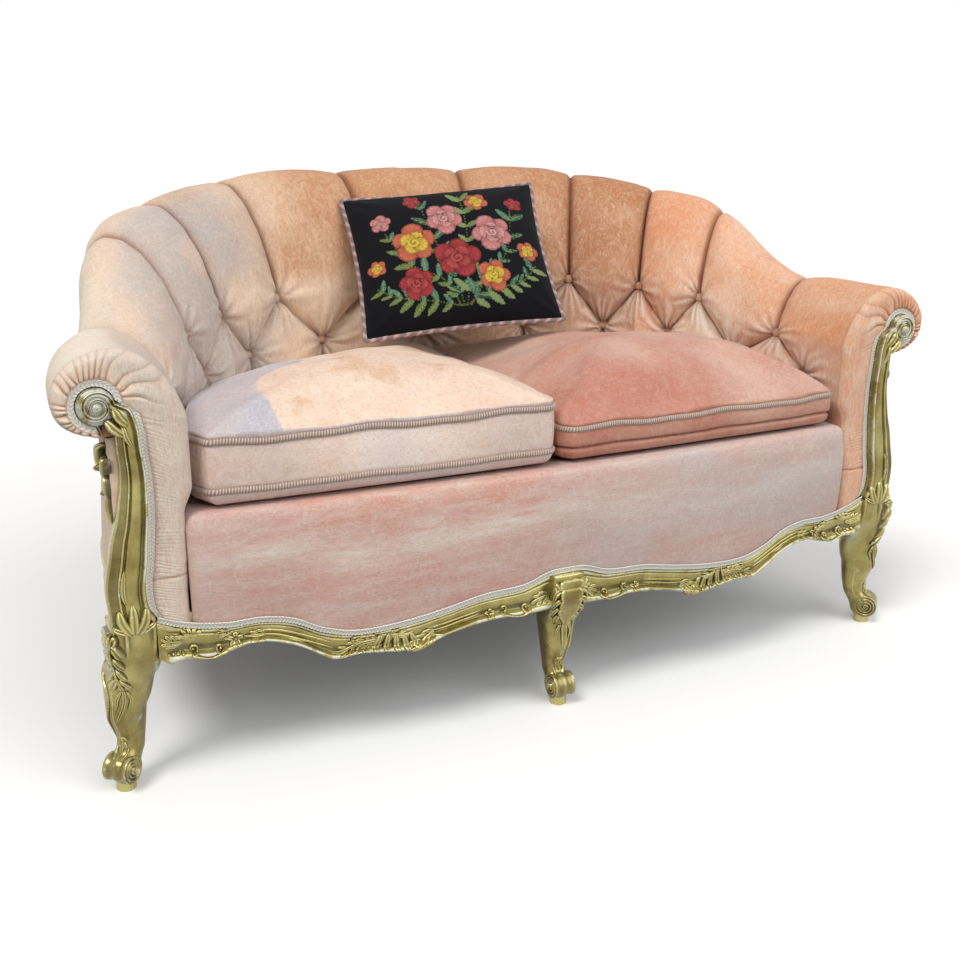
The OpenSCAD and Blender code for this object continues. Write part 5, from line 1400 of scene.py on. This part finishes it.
def rail_carving():
    """Carving of half the rail, from the centre to the leg.

    Leaf, C-scrolls, flower, reeding, acanthus cluster, moulding, flower, C-scrolls, shell and beads.
    """
    c = Carving(lambda u, w, h: points(u, rail_face(u, w) - h, w))
    lo = over_low
    leaf = lambda root, tip, *form: c.leaf(lo(*root), lo(*tip), *form)
    scroll = lambda at, *form: c.scroll(lo(*at), *form[:-1], [lo(*p) for p in form[-1]])
    flower = lambda at, *form: c.flower(np.array(lo(*at)), *form)
    leaf((30, 26), (62, 12), 20, 5, 2, 0.15)
    scroll((72, 15), 8, 200, 1.1, 2.8, 4.5, [(108, 9), (96, 4), (80, 3)])
    scroll((112, 17), 7, -60, -1.0, 2.6, 4.5, [(84, 3), (96, 4), (108, 8)])
    flower((134, 12), 9, 5)
    for j in range(3):
        path = [lo(150, 10 + 6 * j), lo(180, 8 + 6.5 * j), lo(212, 8 + 7 * j), lo(240, 16 + 6 * j)]
        c.stroke(path, 2.6, 2.6, taper=(0.3, 0.5))
    leaf((228, 20), (276, 6), 22, 6, 3, -0.12)
    for u in range(262, 319, 14):
        lean = (u - 292) * 0.5
        path = [(u - lean * 0.3, lo(u, 31)[1]), lo(u + lean * 0.1, 17), lo(u + lean * 0.6, 3)]
        c.stroke(path, 6.4, 6.5, groove=0.25, taper=(0.6, 0.3))
    leaf((300, 34), (262, 38), 15, 5, 2, 0.2)
    leaf((318, 22), (362, 8), 24, 6.5, 3, 0.15)
    scroll((352, 24), 9, 150, -1.2, 3, 5, [(312, 36), (330, 38), (344, 36)])
    leaf((352, 20), (392, 16), 16, 5, 2, -0.2)
    for j in range(2):
        path = [lo(386, 18 + 9 * j), lo(430, 13 + 9 * j), lo(470, 12 + 8 * j), lo(506, 12 + 7 * j)]
        c.stroke(path, 3.0, 2.4, taper=(0.2, 0.4))
    leaf((486, 12), (518, 14), 16, 5, 2)
    flower((530, 16), 12, 6)
    leaf((536, 22), (560, 34), 14, 5, 2, 0.2)
    scroll((552, 13), 8, 190, 1.1, 2.8, 5, [(590, 9), (578, 4), (562, 3)])
    scroll((590, 17), 8, -70, -1.1, 2.8, 5, [(556, 3), (570, 3), (584, 7)])
    x, z = lo(592, 34)
    for a in range(-50, 71, 30):
        c.stroke([(x, z), (x + 20 * sind(a), z + 20 * cosd(a))], 3.8, 5.5, groove=0.2, taper=(0.7, 0.25))
    for u in range(604, 628, 7):
        c.bead((u, lo(u, 13)[1] + (u - 604) * 0.3), 3.4, 4.2)
    leaf((604, 30), (634, 52), 18, 5, 3, -0.15)
    return c


def front_rail(side):
    """Half of the show rail: its moulded face, plain back and carving."""
    x = steps(25.2, RAIL_END - 0.3, 2.0)[:, None]
    v = np.linspace(0, 1, 64)[None, :]
    low, high, y = rail_under(x), rail_top(x), rail_y(x)
    f = curve_at(RAIL_FACE, v) * die_out(x)
    rows = [(x, rail_out(x) + f, mix(low, high, v)), (x, y + 9.5, high), (x, y + 10, LEG_H),
            (x, y + RAIL_T, LEG_H),
            (x, y + RAIL_T, low + 6), (x, y + 18, low + 1)]
    P = np.concatenate([points(*row) for row in rows], 1)
    blank = np.zeros((len(x), len(rows) - 1))
    # low paints shade in the face's recessed bands
    low_at = np.concatenate([clamp((f - 0.6) / 2.6) * 0.75 + 0 * x, blank], 1)
    worn_at = np.concatenate([0.8 * bell(v - 0.14, 0.05) + 0.5 * bell(v - 0.92, 0.03) + 0 * x, blank], 1)
    opt = dict(caps=True, flip=True, low=low_at, worn=worn_at)
    gilt_piece("front_rail_" + hand(side), [(P, opt)], [rail_carving()], side)


front_rail(1)
front_rail(-1)


# Legs
# How far back the post's face lies, across it from its inner edge to its outer one
POST_FACE = [[-1, 0.5], [-0.97, 0.14], [-0.91, 0.0], [-0.84, 0.0], [-0.78, 0.14], [-0.72, 0.36],
             [-0.66, 0.42],
             [-0.56, 0.3], [-0.36, 0.15], [-0.12, 0.11], [0.1, 0.2], [0.2, 0.36], [0.26, 0.4], [0.3, 0.2],
             [0.35, 0.07],
             [0.42, 0.1], [0.47, 0.34], [0.6, 0.5], [0.8, 0.54], [0.94, 0.52], [1, 0.66]]
POST_Y, POST_T, POST_BACK = -38, 13, -12.3
# Up a leg: height, reach, half width along the toe and across it, shift to the block, share of the turn
LEG = np.array([[0, -0.13, 0.75, 0.68, 0, 1], [0.028, -0.13, 1.03, 0.88, 0, 1],
                [0.097, -0.13, 1.3, 0.97, 0, 1],
                [0.144, -0.4, 1.3, 0.97, 0, 1], [0.174, -0.8, 1.04, 0.95, 0, 1], [0.23, -1, 1, 0.92, 0, 1],
                [0.307, -0.98, 1.2, 1.02, 0, 1], [0.412, -0.85, 1.5, 1.2, 0, 1],
                [0.508, -0.85, 1.56, 1.36, 0.04, 1],
                [0.588, -0.85, 1.6, 1.5, 0.12, 0.9], [0.67, -0.65, 1.63, 1.6, 0.5, 0.4],
                [0.75, -0.3, 1.62, 1.57, 0.88, 0.08], [0.82, 0, 1.6, 1.53, 1, 0], [0.9, 0, 1.62, 1.54, 1, 0],
                [1, 0, 1.64, 1.55, 1, 0]])
LEG_OUT, LEG_HALF, LEG_SHIFT, PAD_H, TOE_R = 23.5, 19.5, 28.5, 14, 21
# Where a corner leg stands, how far its carving turns to the front, and the ring it is laid out round
KNEE_X, SWING, KNEE_R, RADIAN = 697.0, 32, 31, 57.3


def raw_leg(z, a, h, turn, scale, origin, top=LEG_H):
    """Surface of a cabriole leg at height z and angle a in degrees from its toe, h millimetres proud."""
    k = clamp((z - PAD_H) / (top - PAD_H))
    reach, along, across, shift, share = (curve_at(LEG[:, [0, j]], k) for j in range(1, 6))
    corner = 1.0 if turn == -45 else 0.0
    now = turn * share + (1 - share) * (round(turn / 90) * 90 if corner else turn)
    sq = mix(2.6, 7, ease((k - 0.6) / 0.14))
    b = a + 0 * z
    ridge = 2.4 * bell((b + 180) % 360 - 180, 13) * bell(k - 0.45, 0.3)
    u = spow(cosd(b), 2 / sq) * (along * LEG_HALF * scale + h) + ridge
    v = spow(sind(b), 2 / sq) * (across * LEG_HALF * scale + h)
    out = reach * LEG_OUT
    x = origin[0] + out * cosd(turn) + u * cosd(now) - v * sind(now) - shift * LEG_SHIFT * corner
    y = origin[1] + out * sind(turn) + u * sind(now) + v * cosd(now) - 2.5 * corner * ease((k - 0.7) / 0.2)
    return x, y


def inner_x(z):
    """Inner edge of a corner leg, where the rail's lower edge curves down into it."""
    return 637.9 + 28 * (1 - np.sqrt(1 - clamp((204 - z) / 92) ** 2))


CORNER_Z = np.linspace(60, 262, 90)
CORNER_X = raw_leg(CORNER_Z[:, None], np.arange(0, 360, 4.0)[None, :], 0.0, -45, 1.0, (KNEE_X, 0.0))[0]
CORNER_MIN, CORNER_MID = CORNER_X.min(1), CORNER_X.mean(1)


def leg_at(z, a, h, turn, scale, origin, top=LEG_H):
    """Surface of a leg; a corner leg widens into the rail and carries on the post's moulding."""
    x, y = raw_leg(z, a, h, turn, scale, origin, top)
    if turn == -45:
        mid, least = (np.interp(z, CORNER_Z, v) for v in (CORNER_MID, CORNER_MIN))
        reach = (mid - np.minimum(inner_x(z), least)) / (mid - least)
        x = np.where(x < mid, mid - (mid - x) * mix(1, reach, ease((z - 112) / 20)), x)
        face = POST_Y + POST_T * curve_at(POST_FACE, clamp((x - BLOCK_X) / POST_HALF, -1, 1))
        y = mix(y, face - h * ease((h + 0.01) * 9), ease((-25 - y) / 7) * ease((z - 206) / 44))
    return points(x, y, z + 0 * a)


def ring_angles():
    """Angles that keep the flat sides of a squared ring as finely divided as its corners."""
    u = np.linspace(-0.96, 0.96, lod(31))
    side = 90 - np.degrees(np.arcsin(np.sign(u) * np.abs(u) ** 3.5))
    even = np.arange(0, 360, lod(5.0))
    return np.unique(np.round(np.concatenate([even, *[(side + 90 * i) % 360 for i in range(4)]]), 1))


def toe(turn, scale, origin):
    """The scrolled toe, with a spiral cut in each side."""
    rho = np.concatenate([np.linspace(0, TOE_R, 24), np.full(9, TOE_R), np.linspace(TOE_R, 0, 24)])[:, None]
    wide = np.concatenate([np.full(24, 1.0), np.linspace(1, -1, 11)[1:-1], np.full(24, -1.0)])[:, None]
    f = (np.arange(56) / 56 * 360)[None, :]
    face = np.abs(wide) > 0.99
    spiral = 1.6 * np.cos((rho / 5.2 - f / 360 * np.sign(wide + 1e-6)) * 2 * np.pi)
    boss = 3.4 * np.exp(-(rho / 5.5) ** 4)
    w = wide * 19 * scale + np.sign(wide) * np.where(face, (spiral + boss) * ease((TOE_R - rho) / 4), 0)
    r = rho + np.where(face, 0, 1.2 * np.cos(np.pi * wide * 2) - 1.2)
    c, s, along = cosd(turn), sind(turn), 3 + r * cosd(f)
    return points(origin[0] + along * c - w * s, origin[1] + along * s + w * c, PAD_H + TOE_R + r * sind(f))


def knee_carving(c, k):
    """Three-lobed cap, layered petals, a drop that thins down the shin and a line on the outer side.

    k scales the heights, which are those of a front leg.
    """
    def stroke(path, *form):
        c.strokes(([(u, z * k) for u, z in path], *form))

    for s in (-1, 0, 1):
        c.stroke([(s * 5, 234 * k), (s * 14, 245 * k), (s * 22, 256 * k - abs(s) * 7)], 9.0, 9.0, 0.35,
                 (0.5, 0.3))
    for j, (z, w) in enumerate(((230, 27), (211, 24), (193, 20), (176, 15))):
        for s in (-1, 1):
            petal = [(s * 2, z + 8), (s * w * 0.66, z + 1), (s * w, z - 13)]
            stroke(petal, 8.4 - 0.7 * j, 9.0 - 0.6 * j, 0.3, 0.45, 0.4)
        stroke([(0, z + 11), (0, z - 1), (0, z - 15)], 6.6 - 0.6 * j, 10.0 - 0.6 * j, 0.3, 0.4, 0.4)
    stroke([(0, 166), (0, 144), (0, 108)], 5, 5.5, 0.3, 0.3, 0.8)
    for s in (-1, 1):
        stroke([(s * 4, 162), (s * 11, 148), (s * 9, 130)], 3.8, 5, 0.25, 0.35, 0.7)
    stroke([(32, 216), (34, 190), (25, 160), (18, 110), (15, 76)], 3.0, 3.0, 0.0, 0.2, 0.5)


def leg(node, turn, scale, origin, top=LEG_H, side=1, knee=True, upto=1.0, extra=(), more=()):
    """A leg that points its toe to turn; upto is the share of its curve that is used."""
    z = steps(PAD_H, mix(PAD_H, top, upto), 2.2)[:, None]
    P = leg_at(z, ring_angles()[None, :], 0.0, turn, scale, origin, top)
    corner = turn == -45
    px, py, pz = P[..., 0], P[..., 1], P[..., 2]
    worn = 0.95 * bell(px - inner_x(pz), 4) * ease((4 - py) / 12) * (pz > 104) * (pz < 204) * corner
    turned = lambda z: (SWING if corner else 0) * ease((z - 90) / 60)
    c = Carving(lambda u, v, h: leg_at(v, u / KNEE_R * RADIAN - turned(v), h, turn, scale, origin, top))
    if knee:
        knee_carving(c, top / LEG_H)
    for s in (-1, 1):
        c.stroke([(s * 13, 66), (s * 11, 58), (s * 5, 52)], 3.2, 3.0, taper=(0.4, 0.4))
    c.leaf((0, 82), (0, 56), 20, 3.5, 2)
    bases = [(P, dict(caps=True, worn=worn)), (toe(turn, scale, origin), dict(low=0.3)), *extra]
    gilt_piece(node, bases, [c, *more], side)


for side in (-1, 1):
    leg("front_leg_" + hand(side), -45, 1.0, (KNEE_X, 0.0), side=side)


BLOCK_TOP = float(rail_top(25.0))


def centre_block():
    """Squared head of the centre leg, between the two halves of the rail."""
    front, half = float(rail_y(0.0)), 24.7
    rows = []
    for y, z in ((front, 182), (front, BLOCK_TOP - 0.3), (front + 10, BLOCK_TOP - 0.2), (front + 10, LEG_H)):
        rows.append([(-half, front + RAIL_T, z), (-half, y, z), (half, y, z), (half, front + RAIL_T, z)])
    return np.array(rows)


def centre_spray():
    """A flower between four leaves on the head of the centre leg."""
    spray = Carving(lambda u, v, h: points(u, -55.0 - h, v))
    spray.flower(np.array((0.0, 214.0)), 13, 8, petals=6)
    for side in (-1, 1):
        spray.leaf((side * 5, 208), (side * 23, 226), 15, 6, 2, 0.1 * side)
        spray.leaf((side * 5, 204), (side * 22, 190), 14, 6, 2, -0.1 * side)
    return spray


leg("centre_front_leg", -90, 0.94, (0.0, -41.0), top=BLOCK_TOP, extra=[(centre_block(), dict(caps=True))],
    more=[centre_spray()])


def outward(t):
    """Direction in degrees that faces out of the frame at turn t."""
    a, b = frame_xy(t - 1.0), frame_xy(t + 1.0)
    return math.degrees(math.atan2(a[0] - b[0], b[1] - a[1]))


BASE_LOW, REAR_SHARE = 190, 0.82
for node, t in (("rear_leg_right", POST_TURN), ("rear_leg_left", 180 - POST_TURN), ("centre_rear_leg", 90)):
    leg(node, outward(t), 0.9, frame_xy(float(t), -16), top=PAD_H + (BASE_LOW - PAD_H) / REAR_SHARE,
        knee=False,
        upto=REAR_SHARE)


# Arm posts
def post_carving():
    """Husks over the joint with the leg, a stroke up the post and leaves by the volute's throat."""
    c = Carving(lambda u, v, h: points(u, POST_Y + 6 - h, v))
    at = lambda *path: [(BLOCK_X + u, z) for u, z in path]
    for s in (-1, 0, 1):
        c.strokes((at((3 * s, 250), (15 * s, 270), (18.75 * s, 295 - 6 * abs(s))), 8.5, 12.5, 0.25, 0.4, 0.5))
    for s in (-1, 1):
        c.strokes((at((6 * s, 254), (17 * s, 259), (29 * s, 266)), 5.0, 11, 0.3, 0.4, 0.3))
    c.strokes((at((8, 296), (11, 318), (7, 346)), 5, 10, 0.2, 0.4, 0.7),
              ([(652, 546), (663, 557), (670, 572)], 7.5, 12.5, 0.25, 0.5, 0.35),
              ([(656, 532), (670, 543), (681, 557)], 7.5, 12, 0.25, 0.5, 0.35),
              ([(648, 514), (656, 530), (660, 548)], 5, 10.5, 0.2, 0.6, 0.4))
    return c


def husk_drop():
    """A drop of husks on the outside arm, below the roll, laid out by y and z."""
    under = float(board_low(0.0)) - LEG_H
    c = Carving(lambda u, v, h: points(cover_at(0 * v, (v - LEG_H) / under, COVER_OUT)[..., 0] + h, u, v))
    c.strokes(([(-8, 518), (8, 510), (14, 494), (6, 478)], 7, 17, 0.3, 0.5, 0.35),
              ([(-4, 502), (-9, 488), (0, 472)], 6.5, 14, 0.3, 0.4, 0.35))
    c.bead((3, 484), 6.5, 19)
    c.strokes(([(8, 476), (-4, 460), (2, 440)], 6, 12, 0.3, 0.4, 0.4))
    c.bead((2, 448), 5, 14)
    c.strokes(([(2, 444), (3, 424), (0, 402)], 5, 9, 0.0, 0.3, 0.8))
    return c


def post(side):
    """An arm post: its moulding wound into the volute, a solid core behind that, and carving."""
    path, half = post_path()
    k = np.linspace(-1, 1, 70)
    f, half = curve_at(POST_FACE, k), half[:, None]
    prog = np.linspace(0, 1, len(path))[:, None]
    xz = path[:, None] + side_of(path)[:, None] * (k[None, :, None] * half[..., None])
    y = POST_Y + (POST_T * f)[None] * (0.55 + 0.45 * clamp(half / 16)) - 3.0 * ease((prog - 0.8) / 0.2)
    P = points(xz[..., 0], y, xz[..., 1])
    back = P[:, [-1, -1, 0, 0]].copy()
    back[..., 1] = -24, POST_BACK, POST_BACK, -24
    P = np.concatenate([P, back], 1)
    blank = np.zeros((len(path), 4))
    near = bell(k + 0.88, 0.07)[None] * ease((prog - 0.12) / 0.1)
    # low paints shade in the face's recessed bands
    low_at = np.concatenate([clamp((f - 0.2) / 0.2)[None] * 0.45 * (k < 0.9) + 0 * prog, blank], 1)
    worn_at = np.concatenate([0.9 * near + 0.45 * ease((prog - 0.62) / 0.1), blank], 1)
    a = np.arange(72) / 72 * 360
    rings = [(r, POST_Y + d) for r, d in ((2, -4), (5, -3.4), (6.5, 0), (22, 6), (24.4, 7), (24.8, 9))]
    rings.append((24.8, POST_BACK))
    core = np.stack([points(VOLUTE[0] + r * cosd(a), y, VOLUTE[1] + r * sind(a)) for r, y in rings])
    bases = [(P, dict(caps=True, low=low_at, worn=worn_at)), (core, dict(caps=True, low=0.25, worn=0.5))]
    gilt_piece("arm_post_" + hand(side), bases, [post_carving(), husk_drop()], side)


post(1)
post(-1)


# Rear posts, side and back rails
# Up a rear post: place, half width and depth
REAR = np.array([[0, 0.9, 0.7], [0.2, 0.75, 0.6], [0.45, 0.55, 0.5], [0.62, 0.8, 0.8], [0.72, 0.6, 0.6],
                 [0.82, 1, 1],
                 [0.93, 1, 0.9], [1, 0.3, 0.4]])


def rear_post(node, t):
    """The carved ornament over a rear upright, on the outside cover at turn t."""
    n = 90
    k = np.linspace(0, 1, n)
    q = np.stack([np.interp(k, REAR[:, 0], REAR[:, j]) for j in (1, 2)], -1)
    for _ in range(4):
        q[1:-1] = (q[:-2] + 2 * q[1:-1] + q[2:]) / 4
    z = mix(LEG_H + CLEAR, 412, k)
    m = float(tub_match(float(t)))
    p = cover_at(np.full(n, float(t)), (z - LEG_H) / (float(board_low(m)) - LEG_H), COVER_OUT)
    c, s = cosd(outward(t)), sind(outward(t))
    b = np.linspace(0, np.pi, 25)
    bulge = np.sin(b) ** 0.8 * (1 - 0.22 * bell(b - np.pi / 2, 0.22))
    P = p[:, None] + np.array([-s, c, 0]) * (np.cos(b)[None, :, None] * q[:, None, :1] * 14)
    P = P + np.array([c, s, 0]) * (bulge[None, :, None] * q[:, None, 1:] * 13.5 + 0.4)
    P[..., 2] = z[:, None]
    gilt_piece(node, [(P, dict(caps=True))])


# Outward reach and height of the side and back rails' moulding
BASE_FACE = [[5, 262.0], [5.8, 258], [5, 252.5], [1.6, 248], [0.6, 242], [0.3, 228], [1, 219], [4.4, 213],
             [5.4, 209],
             [4, 204], [1.5, 198], [0, BASE_LOW]]


def base_rail(node, t0, t1):
    """A plain moulded rail round the seat from turn t0 to t1."""
    t = steps(t0, t1, 0.25)
    rows = [np.concatenate([frame_xy(t, o), np.full((len(t), 1), z)], -1)
            for o, z in [*spline(BASE_FACE, 50), (-30, BASE_LOW), (-30, LEG_H)]]
    gilt_piece(node, [(np.stack(rows, 1), dict(caps=True))])


rear_post("rear_post_right", POST_TURN)
rear_post("rear_post_left", 180 - POST_TURN)
start = float(np.degrees(np.arcsin(((30.4 - ARM_Y) / FRAME_D) ** 2)))
base_rail("side_rail_right", start, POST_TURN)
base_rail("back_rail", POST_TURN, 180 - POST_TURN)
base_rail("side_rail_left", 180 - POST_TURN, 180 - start)


# Pieces that keep the shape of the CAD
def dress(names, mat):
    for n in names:
        ob = bpy.data.objects[n]
        ob.data.materials.clear()
        ob.data.materials.append(mat)


# Floor, backdrop and lights
def seen_by(tree):
    """1 for rays from the camera, off glossy things and through clear ones, and 0 for light on the sofa."""
    rays = tree.nodes.new("ShaderNodeLightPath")
    last = rays.outputs["Is Camera Ray"]
    for ray in ("Is Glossy Ray", "Is Transmission Ray"):
        either = tree.nodes.new("ShaderNodeMath")
        either.operation = "MAXIMUM"
        tree.links.new(last, either.inputs[0])
        tree.links.new(rays.outputs[ray], either.inputs[1])
        last = either.outputs[0]
    return last


def floor():
    half, z = 30.0, -0.0004
    me = bpy.data.meshes.new("floor")
    me.from_pydata([(-half, -half, z), (half, -half, z), (half, half, z), (-half, half, z)], [],
                   [(0, 1, 2, 3)])
    m = Mat("floor_white", Roughness=0.95, Specular_IOR_Level=0.0)
    seen = seen_by(m.t)
    m.set(Base_Color=m.mixc(seen, (0.34, 0.33, 0.32), (0.97, 0.97, 0.97)))
    glow = m.n("ShaderNodeEmission", Color=(1, 1, 1, 1), Strength=m.mul(seen, 0.03))
    both = m.n("ShaderNodeAddShader")
    m.put(m.b.outputs[0], both.inputs[0])
    m.put(glow.outputs[0], both.inputs[1])
    m.put(both.outputs[0], m.t.nodes["Material Output"].inputs["Surface"])
    me.materials.append(m.m)
    link("floor", me)


def world():
    """Soft white light from all round, in front of a plain white backdrop."""
    w = bpy.data.worlds.new("world")
    bpy.context.scene.world = w
    w.use_nodes = True
    t = w.node_tree
    both = t.nodes.new("ShaderNodeMixShader")
    t.links.new(seen_by(t), both.inputs[0])
    for i, (bg, strength) in enumerate(((t.nodes["Background"], 0.35),
                                        (t.nodes.new("ShaderNodeBackground"), 1.0))):
        bg.inputs["Color"].default_value = (1, 1, 1, 1)
        bg.inputs["Strength"].default_value = strength
        t.links.new(bg.outputs[0], both.inputs[i + 1])
    t.links.new(both.outputs[0], t.nodes["World Output"].inputs["Surface"])


def lamps():
    """Two suns: name, direction to it, power, angle across in degrees and colour."""
    for name, away, power, soft, col in (("sun", (-0.68, -0.42, 1.18), 1.62, 24, (1, 0.985, 0.955)),
                                         ("sky", (0.4, -0.95, 0.8), 1.52, 60, (0.95, 0.97, 1))):
        d = bpy.data.lights.new(name, "SUN")
        d.energy, d.angle, d.color = power, math.radians(soft), col
        link(name, d).rotation_euler = Vector(away).to_track_quat("Z", "Y").to_euler()


dress(["arm_stumps", "back_uprights", "arm_board_left", "arm_board_right", "top_rail", "tacking_rail",
       "seat_stretcher", "corner_blocks", "joint_dowels"], M_BEECH)
dress(["long_webbing", "cross_webbing", "spring_canvas"], M_CANVAS)
dress(["seat_springs"], M_STEEL)
dress(["foot_pads"], M_GILT)
floor()
world()
lamps()
